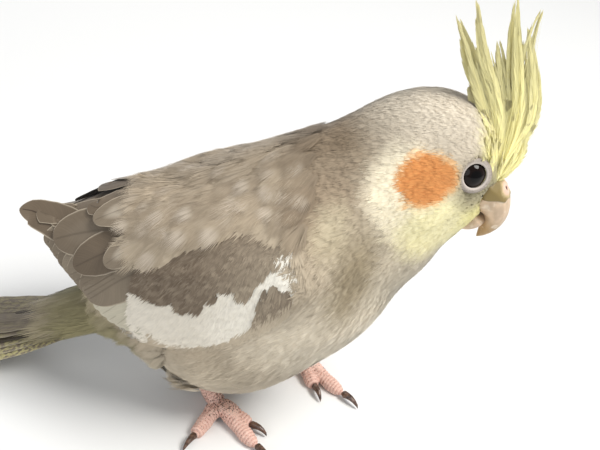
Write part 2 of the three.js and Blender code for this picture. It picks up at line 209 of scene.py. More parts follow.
def merged_copy(nodes, name, wings_end):
    """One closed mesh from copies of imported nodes. A wing's own form ends at a place in x."""
    copies = []
    for node in nodes:
        copy = bpy.data.objects.new(name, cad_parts[node].data.copy())
        if node.startswith("wing"):
            places = spots(copy.data)
            places[:, 0] = np.maximum(places[:, 0], wings_end)
            reshape(copy.data, metres(places))
        bpy.context.collection.objects.link(copy)
        copies.append(copy)
    select_only(copies[0])
    for copy in copies[1:]:
        copy.select_set(True)
    if len(copies) > 1:
        bpy.ops.object.join()
    with edited(copies[0]):
        bpy.ops.mesh.remove_doubles(threshold=WELD)
        bpy.ops.mesh.normals_make_consistent(inside=False)
    bpy.ops.mesh.customdata_custom_splitnormals_clear()
    copies[0].data.materials.clear()
    return copies[0]


def rounded(nodes, name, voxel, rounds, grow, wings_end=-200.0):
    """The smooth form of some nodes, grown a little, with the clearances between them closed."""
    form = merged_copy(nodes, name, wings_end)
    worked(form, "DISPLACE", strength=grow * MM, mid_level=0)
    worked(form, "REMESH", mode="VOXEL", voxel_size=voxel * MM)
    worked(form, "SMOOTH", factor=0.5, iterations=rounds)
    return form


def hung(piece, material, slot, *nodes):
    """Gives a finished piece its material and its body, and hides the nodes it stands for. The slot
    is not used.
    """
    piece.data.materials.append(material)
    if nodes:
        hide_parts(*nodes)
    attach(piece, "root")


def finished(piece, name, material, slot, *nodes):
    piece.name = piece.data.name = name
    piece.data.materials.clear()
    select_only(piece)
    bpy.ops.object.shade_smooth()
    hung(piece, material, slot, *nodes)


# Skin under the coat

FLESH = ["head", "neck", "trunk", "wing_right", "wing_left"]
FLIGHTS = ["flight_feathers_right", "flight_feathers_left"]
BALLS = ["eye_right", "eye_left"]
# Behind this the folded wings are too thin to hold a skin under their feathers.
THIN_WING = -43.0
# How far flesh nodes grow to close the clearances between them.
CLOSING = 0.35
# How much each eye faces ahead and up, how far before its packed ball's middle it sits, the
# ball's radius and its opening's.
EYE_AHEAD, EYE_UP, EYE_FORWARD = 0.33, 0.32, 0.6
EYE_BALL, EYE_OPENING = 4.3, 3.0
# How much thinner the coat is close about an eye, and how deep and wide the eye's socket is.
THIN_AT_EYE = 0.45
SOCKET_DEPTH, SOCKET_RIM = 1.4, (3.0, 5.0)
# The coat's depth at the bill, then what the face and the body add to it.
DEPTH_AT_BILL, FACE_DEPTH, BODY_DEPTH = 0.7, 0.8, 0.9
# The skin's grain: the size of its cells before and after it sinks under the coat.
SKIN_CELL, SUNK_CELL = 1.1, 1.05

EYES = {}
for word, side in (("right", -1), ("left", 1)):
    ball = spots(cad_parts[f"eye_{word}"].data)
    EYES[word] = ((ball.min(axis=0) + ball.max(axis=0)) / 2 + (EYE_FORWARD, 0, 0),
                  unit(np.array([EYE_AHEAD, side, EYE_UP])))


def from_eyes(points):
    """How far points are from the nearer eye's own axis, in millimetres."""
    nearest = np.full(len(points), 1e3)
    for middle, way in EYES.values():
        run = (points - middle) @ way
        off = np.linalg.norm(points - middle - run[:, None] * way, axis=1)
        nearest = np.minimum(nearest, np.where(run > 0, off, 1e3))
    return nearest


def from_bill(points):
    return np.linalg.norm(points - BILL_BASE, axis=1)


def eye_clear(points):
    """Falls from 1 to its least close to either eye."""
    return THIN_AT_EYE + (1 - THIN_AT_EYE) * smooth(4.0, 8.0, from_eyes(points))


def coat_depth(points):
    """How deep the coat is at plan points."""
    off = from_bill(points)
    depth = DEPTH_AT_BILL + FACE_DEPTH * smooth(6, 20, off) + BODY_DEPTH * smooth(24, 48, off)
    return depth * eye_clear(points)


def keep_largest(piece):
    """Deletes all but the piece's largest joined part."""
    one, other = read(piece.data.edges, "vertices", 2, np.int32).T
    label, before = np.arange(len(piece.data.vertices)), None
    while not np.array_equal(before, label):
        before = label.copy()
        low = np.minimum(label[one], label[other])
        np.minimum.at(label, one, low)
        np.minimum.at(label, other, low)
        label = label[label]
    with edited(piece, "DESELECT"):
        bpy.ops.object.mode_set(mode="OBJECT")
        piece.data.vertices.foreach_set("select", label != np.bincount(label).argmax())
        bpy.ops.object.mode_set(mode="EDIT")
        bpy.ops.mesh.delete(type="VERT")


def make_skin():
    skin = rounded(FLESH + BALLS, "skin", SKIN_CELL, 10, CLOSING, THIN_WING)
    places = spots(skin.data)
    ups = read(skin.data.vertex_normals, "vector", 3)
    socket = SOCKET_DEPTH * (1 - smooth(*SOCKET_RIM, from_eyes(places)))
    reshape(skin.data, metres(places - ups * (coat_depth(places) + socket)[:, None]))
    worked(skin, "REMESH", mode="VOXEL", voxel_size=SUNK_CELL * MM)
    worked(skin, "SMOOTH", factor=0.5, iterations=4)
    keep_largest(skin)
    with edited(skin):
        bpy.ops.uv.smart_project(angle_limit=math.radians(66), island_margin=0.004)
    skin.data.uv_layers[0].name = "OFBake"
    bpy.ops.object.shade_smooth()
    return skin


class Surface:
    """A mesh in plan millimetres that feathers walk over, with its faces as arrays."""

    def __init__(self, mesh):
        self.verts = spots(mesh)
        self.faces = [tuple(p.vertices) for p in mesh.polygons]
        self.tree = BVHTree.FromPolygons([Vector(v) for v in self.verts], self.faces)
        self.quads = np.array([f if len(f) == 4 else (*f, f[-1]) for f in self.faces])
        self.centres = self.verts[self.quads].mean(axis=1)
        self.ups = read(mesh.polygon_normals, "vector", 3)
        if mesh.uv_layers:
            loops = read(mesh.uv_layers[0].uv, "vector", 2)
            starts = read(mesh.polygons, "loop_start", 1, np.int32)
            last = np.array([len(f) - 1 for f in self.faces])
            self.uvs = loops[starts[:, None] + np.minimum(np.arange(4), last[:, None])]

    def nearest(self, points):
        places, ups = np.empty_like(points), np.empty_like(points)
        for i, point in enumerate(points):
            places[i], ups[i] = self.tree.find_nearest(Vector(point))[:2]
        return places, ups

    def uv_at(self, points):
        faces = [self.tree.find_nearest(Vector(p))[2] for p in points]
        return self.uvs[faces].mean(axis=1)

    def scattered(self, rng, per_face):
        """Places spread evenly over the faces: place, way up, place on the unwrap."""
        copies = np.floor(per_face + rng.random(len(per_face))).astype(int)
        face = np.repeat(np.arange(len(per_face)), copies)
        a, b = rng.random((2, len(face), 1))
        shares = [(1 - a) * (1 - b), a * (1 - b), a * b, (1 - a) * b]
        corners = self.verts[self.quads[face]]
        place = sum(corners[:, i] * shares[i] for i in range(4))
        uv = sum(self.uvs[face][:, i] * shares[i] for i in range(4))
        return place, self.ups[face], uv


skin = make_skin()
ground = Surface(skin.data)


# The lie of the coat


def flat_on(ways, ups):
    """Ways turned into the surface they lie on."""
    return unit(ways - ups * np.sum(ways * ups, axis=-1, keepdims=True))


def strayed(rng, ways, ups, most):
    """Ways turned a little to either side."""
    return flat_on(ways + np.cross(ups, ways) * rng.normal(0, most, (len(ways), 1)), ups)


def lie(points, ups):
    """The way the coat lies: away from the bill on the face, then along the lie line."""
    way = np.zeros_like(points)
    for start, end in zip(LIE_LINE[:-1], LIE_LINE[1:]):
        step = end - start
        share = np.clip((points - start) @ step / (step @ step), 0, 1)
        gap = np.linalg.norm(points - start - share[:, None] * step, axis=1)
        way += (step / np.linalg.norm(step)) / gap[:, None] ** 4
    near = 1 - smooth(10, 26, from_bill(points))[:, None]
    return flat_on(unit(way) * (1 - near) + unit(points - BILL_BASE) * near, ups)


def walked(surface, roots, ups, ways, lengths, stations):
    """The middle line of each feather over the surface: its places and ways up."""
    places = np.empty((len(roots), stations, 3))
    rises = np.empty_like(places)
    place, up, way = roots, ups, ways
    for k in range(stations):
        places[:, k], rises[:, k] = place, up
        if k < stations - 1:
            place, new_up = surface.nearest(place + way * (lengths / (stations - 1))[:, None])
            up = unit(new_up + 0.6 * up)
            way = flat_on(way, up)
    return places, rises


# Feather patterns, in their own measures: along the shaft from 0 to 1, across it from -1 to 1


def blade_rows(rng, starts, ends, widths, aspect, bow, loose):
    """Tapering blades. Each has five corners: a pair at the root, a pair midway and a tip."""
    middle = starts + (ends - starts) * 0.55
    middle[:, 1] = starts[:, 1] + (ends[:, 1] - starts[:, 1]) * (0.55 + bow)
    run = (ends - starts) * (aspect, 1)
    side = unit(np.stack([-run[:, 1], run[:, 0]], axis=1)) * (1 / aspect, 1)
    half = side * widths[:, None] / 2
    corners = np.stack([starts - half * 0.8, starts + half * 0.8, middle - half, middle + half,
                        ends], axis=1).reshape(-1, 2)
    base = np.arange(len(starts))[:, None] * 5
    return {"corners": corners, "quads": base + (0, 1, 3, 2), "tris": base + (2, 3, 4),
            "uv": np.stack([(corners[:, 1] + 1) / 2, np.clip(corners[:, 0], 0, 1)], axis=1),
            "lift": np.repeat(rng.normal(0, loose, len(starts)), 5),
            "shade": np.repeat(rng.random(len(starts)), 5)}


def tuft_pattern(rng, blades, ragged, aspect):
    """A small feather with loose barbs that spread from its root."""
    across = (np.arange(blades) + 0.5) / blades * 2 - 1 + rng.normal(0, 0.3 / blades, blades)
    along = 1 - 0.3 * across**2 - ragged * rng.random(blades)
    starts = np.stack([0.2 * rng.random(blades), across * 0.35], axis=1)
    widths = np.full(blades, 2.3 / blades)
    return blade_rows(rng, starts, np.stack([along, across], axis=1), widths, aspect, 0.12, 1)


def vane_pattern(rng, barbs, ragged, aspect, blunt, sweep, thick):
    """A feather with a shaft and loose barbs that leave it on both sides."""
    starts, ends = [], []
    for side in (-1, 1):
        root = (np.arange(barbs) + rng.random(barbs) * 0.5) / barbs * 0.93
        tip = np.minimum(root + sweep * (1.15 - 0.5 * root), 1 - 0.02 * rng.random(barbs))
        outline = np.minimum(1, 0.45 + tip * 1.6) * np.clip(1 - tip**blunt, 0, 1) ** 0.5
        reach = side * (outline + 0.03) * (1 - ragged * rng.random(barbs) ** 2)
        starts.append(np.stack([root, np.zeros(barbs)], axis=1))
        ends.append(np.stack([tip - ragged * 0.15 * rng.random(barbs), reach], axis=1))
    # The shaft comes last and lies on top.
    starts = np.concatenate([*starts, [[0.0, 0.0]]])
    ends = np.concatenate([*ends, [[0.97, 0.0]]])
    widths = np.append(np.full(2 * barbs, thick), 0.16)
    pattern = blade_rows(rng, starts, ends, widths, aspect, -0.06, 0.5)
    pattern["lift"][-5:] = 1.5
    return pattern


def sheet_pattern(rng, rows, columns, blunt, swell, notches):
    """A closed vane as one sheet, cut a little at its edges, with a shaft along its middle."""
    along, across = np.meshgrid(
        np.sin(np.linspace(0, math.pi / 2, rows)), np.linspace(-1, 1, columns), indexing="ij")
    outline = np.minimum(1, swell + along * 1.5) * np.clip(1 - along**blunt, 0.0004, 1) ** 0.5
    cut = np.abs(across) ** 6 * rng.normal(0, notches, along.shape)
    sheet = np.stack([along, across * outline * (1 - np.abs(cut))], axis=-1).reshape(-1, 2)
    number = np.arange(rows * columns).reshape(rows, columns)
    quads = np.stack([number[:-1, :-1], number[:-1, 1:], number[1:, 1:], number[1:, :-1]], axis=-1)
    shaft = np.stack([np.repeat(along[:, 0] * 0.97, 2), np.tile([-0.03, 0.03], rows)], axis=1)
    first = rows * columns + 2 * np.arange(rows - 1)[:, None]
    flat = np.concatenate([np.stack([along, across], axis=-1).reshape(-1, 2), shaft])
    return {"corners": np.concatenate([sheet, shaft]),
            "quads": np.concatenate([quads.reshape(-1, 4), first + (0, 1, 3, 2)]),
            "tris": np.empty((0, 3), int),
            "uv": np.stack([(flat[:, 1] + 1) / 2, flat[:, 0]], axis=1),
            "lift": np.append(0.25 * (1 - np.abs(across)) ** 0.5, np.full(2 * rows, 0.8)),
            "shade": np.repeat([0.5, 0.3], [rows * columns, 2 * rows])}


# The width of a feather's patch on the bake's unwrap.
PATCH = 0.003
# How much a feather bends down to its edges, by its half width squared.
FLANK_BEND = 1 / 50.0


def feather_mesh(name, patterns, places, rises, half, low, high, marks, root_uv, rng, step):
    """One mesh of many feathers. low and high are heights over the surface at root and tip."""
    stations = places.shape[1]
    pick = rng.integers(0, len(patterns), len(places))
    parts, offset = [], 0
    for order, pattern in enumerate(patterns):
        chosen = np.flatnonzero(pick == order)
        along, across = np.clip(pattern["corners"][:, 0], 0, 1), pattern["corners"][:, 1]
        size = len(along)
        first = np.minimum((along * (stations - 1)).astype(int), stations - 2)
        rest = (along * (stations - 1) - first)[:, None]
        line, rise = places[chosen], rises[chosen]
        base = line[:, first] * (1 - rest) + line[:, first + 1] * rest
        up = unit(rise[:, first] * (1 - rest) + rise[:, first + 1] * rest)
        side = unit(np.cross(up, line[:, first + 1] - line[:, first]))
        wide = half[chosen][:, None] * across
        height = low[chosen][:, None] + (high - low)[chosen][:, None] * along**0.75
        height = height - wide**2 * FLANK_BEND + pattern["lift"] * step
        shift = offset + np.arange(len(chosen))[:, None, None] * size
        shade = np.tile(pattern["shade"], len(chosen))[:, None]
        parts.append((
            (base + side * wide[..., None] + up * height[..., None]).reshape(-1, 3),
            (pattern["quads"] + shift).reshape(-1, 4),
            (pattern["tris"] + shift).reshape(-1, 3),
            np.tile(pattern["uv"], (len(chosen), 1)),
            (root_uv[chosen][:, None] + PATCH * (pattern["uv"] - 0.5)).reshape(-1, 2),
            np.repeat(line[:, 0], size, axis=0),
            np.hstack([np.repeat(marks[chosen], size, axis=0), shade])))
        offset += len(chosen) * size
    corners, quads, tris, uvs, bakes, roots, kinds = map(np.concatenate, zip(*parts))
    mesh = bpy.data.meshes.new(name)
    mesh.vertices.add(len(corners))
    fill(mesh.vertices, "co", metres(corners))
    loops = np.append(quads, tris)
    mesh.loops.add(len(loops))
    fill(mesh.loops, "vertex_index", loops, np.int32)
    starts = np.append(np.arange(len(quads)) * 4, len(quads) * 4 + np.arange(len(tris)) * 3)
    mesh.polygons.add(len(starts))
    fill(mesh.polygons, "loop_start", starts, np.int32)
    for title, values in (("OFBake", bakes), ("Feather", uvs)):
        fill(mesh.uv_layers.new(name=title).uv, "vector", values[loops])
    mesh.update(calc_edges=True)
    fill(mesh.attributes.new("place", "FLOAT_VECTOR", "POINT").data, "vector", metres(roots))
    fill(mesh.attributes.new("marks", "FLOAT_COLOR", "POINT").data, "color", kinds)
    piece = bpy.data.objects.new(name, mesh)
    bpy.context.collection.objects.link(piece)
    mesh.shade_smooth()
    return piece


# Materials


class Value:
    """A number, colour or place that changes over a surface, to do sums with."""

    def __init__(self, paint, socket):
        self.paint, self.socket = paint, socket

    def __add__(self, other):
        return self.paint.sum("ADD", self, other)

    def __sub__(self, other):
        return self.paint.sum("SUBTRACT", self, other)

    def __rsub__(self, other):
        return self.paint.sum("SUBTRACT", other, self)

    def __mul__(self, other):
        return self.paint.sum("MULTIPLY", self, other)

    def __pow__(self, other):
        return self.paint.sum("POWER", self, other)

    def __abs__(self):
        return self.paint.sum("ABSOLUTE", self)


class Paint:
    """The nodes of one material or group."""

    def __init__(self, tree):
        self.tree = tree

    def feed(self, socket, value):
        """Gives a socket another node's value, a colour code or a plain number."""
        if isinstance(value, Value):
            self.tree.links.new(value.socket, socket)
        else:
            socket.default_value = (*colour(value), 1) if isinstance(value, str) else value

    def node(self, kind, *inputs, out=0, settings=None, **named):
        """One output of a new node. Its inputs are given in their order or by name."""
        node = self.tree.nodes.new("ShaderNode" + kind)
        for key, value in (settings or {}).items():
            setattr(node, key, value)
        for key, value in (*enumerate(inputs), *named.items()):
            self.feed(node.inputs[key], value)
        return Value(self, node.outputs[out])

    def sum(self, operation, *inputs):
        return self.node("Math", *inputs, settings={"operation": operation})

    def vectors(self, operation, *inputs, **named):
        return self.node("VectorMath", *inputs, settings={"operation": operation}, **named)

    def blend(self, share, below, above, kind="MIX"):
        node = self.tree.nodes.new("ShaderNodeMix")
        node.data_type, node.blend_type = "RGBA", kind
        for key, value in ((0, share), (6, below), (7, above)):
            self.feed(node.inputs[key], value)
        return Value(self, node.outputs[2])

    def toned(self, shown, tone):
        return self.blend(1.0, shown, tone, "MULTIPLY")

    def ramp(self, value, low, high, start=0.0, end=1.0, kind="LINEAR"):
        return self.node("MapRange", value, low, high, start, end,
                         settings={"interpolation_type": kind})

    def eased(self, value, low, high, start=0.0, end=1.0):
        """A value eased from start to end between low and high."""
        return self.ramp(value, low, high, start, end, "SMOOTHSTEP")

    def noise(self, place, scale, detail=2.0):
        return self.node("TexNoise", Vector=place, Scale=scale, Detail=detail)

    def here(self):
        return self.node("TexCoord", out="Object")

    def noted(self, title, out="Fac"):
        return self.node("Attribute", out=out, settings={"attribute_name": title})

    def place(self, *parts):
        return self.node("CombineXYZ", *parts)

    def parts(self, kind, value):
        """The three parts of a place (XYZ) or a colour (Color)."""
        return [Value(self, out) for out in self.node("Separate" + kind, value).socket.node.outputs]

    def feather(self):
        """A feather's three marks, its own shade, and a point's share across, along and off."""
        across, along, _none = self.parts("XYZ", self.node("UVMap", settings={
            "uv_map": "Feather"}))
        marks = self.parts("Color", self.noted("marks", "Color"))
        return marks, self.noted("marks", "Alpha"), across, along, abs(across * 2.0 - 1.0)

    def bump(self, height, strength, distance):
        normal = self.node("Bump", Height=height, Strength=strength, Distance=distance)
        self.feed(self.tree.nodes["Principled BSDF"].inputs["Normal"], normal)


def new_group(name, out, **given):
    """A group with named inputs and one output: its paint, the inputs and the output."""
    tree = bpy.data.node_groups.new(name, "ShaderNodeTree")
    for title, kind in given.items():
        tree.interface.new_socket(title, in_out="INPUT", socket_type="NodeSocket" + kind)
    tree.interface.new_socket(out[0], in_out="OUTPUT", socket_type="NodeSocket" + out[1])
    paint = Paint(tree)
    inputs = tree.nodes.new("NodeGroupInput").outputs
    values = [Value(paint, inputs[title]) for title in given]
    return paint, values, tree.nodes.new("NodeGroupOutput").inputs[0]


def soft_patch_group():
    """1 inside an egg-shaped patch of the bird and 0 outside, with a soft ragged rim."""
    paint, (place, centre, size, softness, ragged), out = new_group(
        "soft_patch", ("Share", "Float"), Place="Vector", Centre="Vector", Size="Vector",
        Softness="Float", Ragged="Float")
    off = paint.vectors("DIVIDE", paint.vectors("SUBTRACT", place, centre), size)
    edge = paint.vectors("LENGTH", off, out=1) + (paint.noise(place, 0.45) - 0.5) * ragged
    paint.feed(out, paint.eased(edge, 1.0 - softness, softness + 1.0, 1.0, 0.0))
    return paint.tree


# The markings, with the painted shade and light of the neck's folds among them, from the bottom
# layer up: colour, centre, half sizes, softness, raggedness. The patch is the same on both sides of
# the bird.
GROUND_TINT = "b5a791"
MARKINGS_AND_PAINTED_SHADE = {
    "back": ("b2a28b", (-30, 0, 80), (38, 30, 26), 0.35, 0.3),
    "breast": ("cfc4ae", (30, 0, 56), (24, 26, 30), 0.5, 0.3),
    "flank": ("dbd0bb", (10, 18, 44), (18, 14, 13), 0.6, 0.4),
    "belly": ("cfc3ad", (-8, 0, 18), (34, 26, 16), 0.5, 0.3),
    "vent": ("8f8764", (-45, 0, 20), (15.5, 30, 16), 0.3, 0.4),
    "nape": ("8a7963", (3, 0, 97), (14, 15, 12), 0.45, 0.4),
    # The next three are painted shade, painted light and painted shade: the dark and light bands
    # where the neck's feathers fold.
    "neck painted shade": ("998872", (3.5, 18, 86), (9, 9, 13), 0.5, 0.5),
    "neck painted light": ("bdb095", (8.5, 20, 78), (4, 6, 7), 0.6, 0.5),
    "neck fold painted shade": ("9c8e74", (16, 22, 66), (5, 8, 14), 0.6, 0.5),
    "crown": ("cfc4b1", (28, 0, 104), (17, 14, 13), 0.5, 0.3),
    "ear": ("f5ebd0", (22.5, 15, 89), (8.2, 9, 11), 0.35, 0.4),
    "throat": ("f2eabc", (34.5, 10, 79), (12.5, 12, 9), 0.4, 0.4),
    "mask": ("f7efac", (43, 0, 88), (8.5, 12, 18), 0.35, 0.3),
    "lores": ("b9af8c", (40.0, 8, 89.5), (6.5, 6, 6.5), 0.4, 0.3),
    "cheek halo": ("eecd96", (27.2, 15, 92.6), (6.6, 8.5, 7.3), 0.2, 0.4),
    "cheek": ("da9456", (27.1, 15, 92.8), (6.0, 8, 6.6), 0.17, 0.35),
}
DARK_COVERT, WHITE_COVERT, PEARL = "67594a", "efeadd", "cdc1b0"


def plumage_group():
    """The bird's markings, with painted shade and light of its folds, at a place given in the
    model's own metres.
    """
    patch = {"node_tree": soft_patch_group()}
    paint, (place,), out = new_group("plumage", ("Color", "Color"), Place="Vector")
    moved = paint.vectors("SUBTRACT", place, list(metres((0, HEAD_SIDE, 0))))
    scaled = paint.vectors("SCALE", moved, Scale=1 / MM)
    x, y, z = paint.parts("XYZ", scaled)
    place, shown = paint.place(x, abs(y), z), GROUND_TINT
    for tint, centre, size, softness, ragged in MARKINGS_AND_PAINTED_SHADE.values():
        share = paint.node("Group", settings=patch, Place=place, Centre=centre, Size=size,
                           Softness=softness, Ragged=ragged)
        shown = paint.blend(share, shown, tint)
    # Cloudy light and dark over the whole bird: partly the coat's own uneven tone and partly
    # painted shade of its soft folds.
    cloud = paint.noise(scaled, 0.09, 3.0)
    paint.feed(out, paint.toned(shown, paint.ramp(cloud, 0.3, 0.7, 0.86, 1.1)))
    return paint.tree


plumage = {"node_tree": plumage_group()}


def painted(name, colouring, roughness, sheen=0.0, specular=0.25):
    """A material whose colour comes from one of the colouring functions."""
    material = bpy.data.materials.new(name)
    material.use_nodes = True
    paint = Paint(material.node_tree)
    inputs = paint.tree.nodes["Principled BSDF"].inputs
    for title, value in (("Base Color", colouring(paint)), ("Roughness", roughness),
                         ("Sheen Weight", sheen), ("Sheen Roughness", 0.4),
                         ("Specular IOR Level", specular)):
        paint.feed(inputs[title], value)
    return material


def skin_colour(paint):
    look = paint.node("Group", settings=plumage, Place=paint.here())
    return paint.toned(look, (0.86, 0.84, 0.82, 1))


def coat_colour(paint):
    """The markings at each feather's root, with dark, white and pearled wing feathers. Each feather
    is darkened towards its root as painted shade.
    """
    (dark, white, pearled), own, _across, along, off = paint.feather()
    shown = paint.node("Group", settings=plumage, Place=paint.noted("place", "Vector"))
    shown = paint.blend(dark, shown, DARK_COVERT)
    shown = paint.blend(white, shown, WHITE_COVERT)
    pearl = paint.eased((off * 1.3) ** 2.0 + ((along - 0.7) * 3.2) ** 2.0, 1.5, 0.0)
    shown = paint.blend(pearl * pearled, shown, PEARL)
    # Each blade's own random tone, times painted shade that darkens the feather towards its root,
    # where the feathers overlap.
    tone = paint.ramp(own, 0.0, 1.0, 0.95, 1.06) * paint.eased(along, 0.0, 0.75, 0.91, 1.03)
    return paint.toned(shown, tone)


skin.data.materials.append(painted("down_on_skin", skin_colour, 0.9, 0.1))
soft_plumage = painted("soft_plumage", coat_colour, 0.75, 0.25)


# Small feathers of head and body


# A folded wing covers skin that lies no further under it than this.
WING_NEAR = 6.0


def on_wing(points, ups):
    """Whether a folded wing covers each place."""
    trees = []
    for name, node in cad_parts.items():
        if name.startswith(("wing", "flight")):
            corners = [Vector(p) for p in spots(node.data)]
            trees.append(BVHTree.FromPolygons(corners, [p.vertices[:] for p in node.data.polygons]))
    return np.array([any(t.ray_cast(Vector(point), Vector(up), WING_NEAR)[0] for t in trees)
                     for point, up in zip(points, ups)])


winged = on_wing(ground.centres, ground.ups)
# The coat's rows behind the head, by how far they lie beyond the slope that ends it.
NECK_ROW, SHOULDER_ROW, TRUNK_ROW = -1, -20, -42
# The face's coat reaches this far from the bill, and the bare ring round an eye this far.
FACE_REACH, BARE_RING = 23, 3.85
# Tufts per face of the skin, then how many more the head and the rim of the bill have.
BODY_TUFTS, HEAD_TUFTS, BILL_TUFTS = 2.1, 1.3, 2.4
# The length of a tuft at the bill, then what the face and the body add to it.
TUFT_AT_BILL, FACE_LENGTH, BODY_LENGTH = 1.5, 2.9, 3.4
# A tuft's half width as a share of its length, and how high its root lies in the coat.
TUFT_HALF, ROOT_HEIGHT = 0.15, 0.42
# How far the loose barbs of a feather lie apart in height: coat, wing, tail's root and crest.
COAT_STEP, WING_STEP, SOFT_STEP, CREST_STEP = 0.042, 0.06, 0.08, 0.12


def grow_coat():
    rng = np.random.default_rng(11)
    near = from_bill(ground.centres)
    beyond = (ground.centres - HEAD_CUT) @ HEAD_AXIS
    tufts = BODY_TUFTS + HEAD_TUFTS * smooth(-8, 4, beyond) + BILL_TUFTS * (1 - smooth(9, 21, near))
    roots, ups, uv = ground.scattered(rng, np.where(winged, 0, tufts))
    clear = from_eyes(roots) >= BARE_RING
    roots, ups, uv = roots[clear], ups[clear], uv[clear]
    near = from_bill(roots)
    beyond = (roots - HEAD_CUT) @ HEAD_AXIS
    length = TUFT_AT_BILL + FACE_LENGTH * smooth(6, 22, near) + BODY_LENGTH * smooth(24, 55, near)
    length *= eye_clear(roots) * rng.uniform(0.75, 1.3, len(roots))
    ways = strayed(rng, lie(roots, ups), ups, 0.16)
    places, rises = walked(ground, roots, ups, ways, length, 3)
    depth = coat_depth(roots)
    half, low = length * TUFT_HALF, ROOT_HEIGHT * depth
    high = depth * rng.uniform(0.78, 1.0, len(roots)) * (0.62 + 0.38 * smooth(8, 26, near))
    marks = np.zeros((len(roots), 3))
    patterns = [tuft_pattern(rng, 5, 0.35, 6.0) for _ in range(10)]
    head, trunk = beyond > NECK_ROW, beyond <= TRUNK_ROW
    face = head & (near < FACE_REACH)
    sets = {
        "coat_face_right": face & (roots[:, 1] < HEAD_SIDE),
        "coat_face_left": face & (roots[:, 1] >= HEAD_SIDE),
        "coat_crown": head & ~face,
        "coat_neck": ~head & (beyond > SHOULDER_ROW),
        "coat_shoulders": (beyond <= SHOULDER_ROW) & ~trunk,
        "coat_flanks": trunk & (roots[:, 1] < 0),
        "coat_belly": trunk & (roots[:, 1] >= 0),
    }
    for name, chosen in sets.items():
        fields = (v[chosen] for v in (places, rises, half, low, high, marks, uv))
        piece = feather_mesh(name, patterns, *fields, rng, COAT_STEP)
        on_head = name.startswith(("coat_face", "coat_crown"))
        hung(piece, soft_plumage, "head_feathers" if on_head else "body_feathers")


grow_coat()


# Wings. The rows follow the right wing, seen from its side, and the left wing is its mirror.

WING_FRONT, WING_TIP = 5.0, -76.0
LEFT_WING_SETTLES = 5.0
# How many of the shell's small faces over the shoulders bear a broad feather.
SHOULDER_SHARE = 0.085
# Long flight feathers in two fans, each with how many, the line of their roots, the line of
# their tips seen from the side (x, z), half width, height of roots and tips over the wing's face
# and how pearled, white-tipped and pale they are.
FLIGHT_FANS = [
    (11, [(-40, 64), (-38, 60), (-36, 57)],
     [(-67.5, 47.2), (-64.5, 44.8), (-61, 43.2), (-57.5, 41.4), (-54.6, 39.8), (-52.6, 38.2)],
     6.2, -2.3, -1.35, (0, 0, 0.2)),
    (7, [(-36, 56), (-30, 56), (-26, 56)],
     [(-52.4, 37.6), (-49.8, 35.2), (-46.5, 33.8), (-43, 33.6), (-38.5, 34)],
     4.4, -3.2, -1.0, (0, 0.6, 0.16)),
]
# Single large feathers at the back of the wing: root, tip, half width, height of the tip, and how
# pearled, white-tipped and pale each is. A white tip below nothing stands for a dark shaft.
LARGE_FEATHERS = [
    ((-46, 62.5), (-70.8, 56.6), 5.0, -0.85, (0, 0, 0.03)),
    ((-47, 52.5), (-76, 52.9), 5.6, -0.6, (0, -0.8, 0)),
    ((-42, 61), (-64.5, 50.2), 7.0, -0.35, (0.05, 0, 0.08)),
    ((-39, 60.5), (-57.4, 46.4), 5.8, -0.15, (0, 0, 0)),
    ((-38, 67), (-57, 61), 4.4, 0.1, (0, 0, 0.02)),
    ((-37, 66), (-54.2, 58.2), 4.6, 0.6, (0.45, 0, 0.2)),
    ((-34.5, 63), (-48.8, 51.2), 4.4, 0.75, (0.6, 0, 0.25)),
]
# How much lower the root of a large feather lies than its tip, and how much each feather of a
# fan lies over the last.
TUCKED, OVERLAP = 2.4, 0.06
# How far a long feather bends down midway, and how high its shaft stands.
LONG_BEND, VANE_STEP = 1.6, 0.1
# Broad soft feathers of the shoulder with a strong pale pearl: root and tip (x, z).
PEARLED = [
    ((-19.5, 74), (-26.8, 65)), ((-27, 70.8), (-34.6, 61.4)), ((-34, 64), (-40.6, 53)),
    ((-33, 70.6), (-41.6, 62)), ((-26, 73.4), (-34.5, 66.6)),
]
# Where the dark coverts end over the white, where the shoulder's feathers end over them, where
# the white ends over the flank, and the wing's front edge by height (z, x).
COVERT_HEM = [
    (-76, 60), (-50, 47), (-46, 46), (-42, 44.6), (-39.5, 45.6), (-35.2, 44.9), (-33, 46.4),
    (-27.2, 45), (-24.5, 46.6), (-20.6, 53.2), (-16.5, 56.6), (-13.4, 52.4), (-11.1, 59),
    (-7.8, 64.5), (-4, 67), (6, 68),
]
SHOULDER_HEM = [(-60, 52), (-47.8, 52), (-39.5, 54), (-34, 60.5), (-28, 63.8), (-24.5, 66.3),
                (-20.7, 70.8), (-15, 71), (-8, 72.2), (6, 73)]
WHITE_HEM = [
    (-76, 50), (-51, 41), (-44, 38.5), (-42.6, 36), (-42, 29.5), (-38.5, 28.5), (-36.6, 32.5),
    (-31.2, 31), (-25.9, 30.6), (-19.3, 34), (-13.3, 38.8), (-9, 45.6), (-5, 50), (6, 60),
]
FRONT_EDGE = [(46, -6.5), (50, -2.4), (58, -0.6), (64, -1), (69.7, -2.8), (73, -4.5)]
# Outlines of the thumb's dark feathers and of the loose white wisps over them (x, z), and the
# white spot between: its middle and half sizes.
THUMB = [(-6.8, 56.4), (-1.9, 56.2), (-1.6, 50.4), (-3.6, 46.6), (-7.6, 42), (-9.4, 45.2)]
WISPS = [(-7.4, 70.5), (-4, 70), (-2.6, 63), (-6.8, 63)]
SPOT, SPOT_SIZE = (-5.6, 60.8), (3.3, 3.5)
# The white ends here, and behind it lie only the shoulder's feathers, to the coat's end.
WHITE_END, WING_COAT_END = -42.6, -48


def hem(points, x):
    return np.interp(x, *zip(*points))


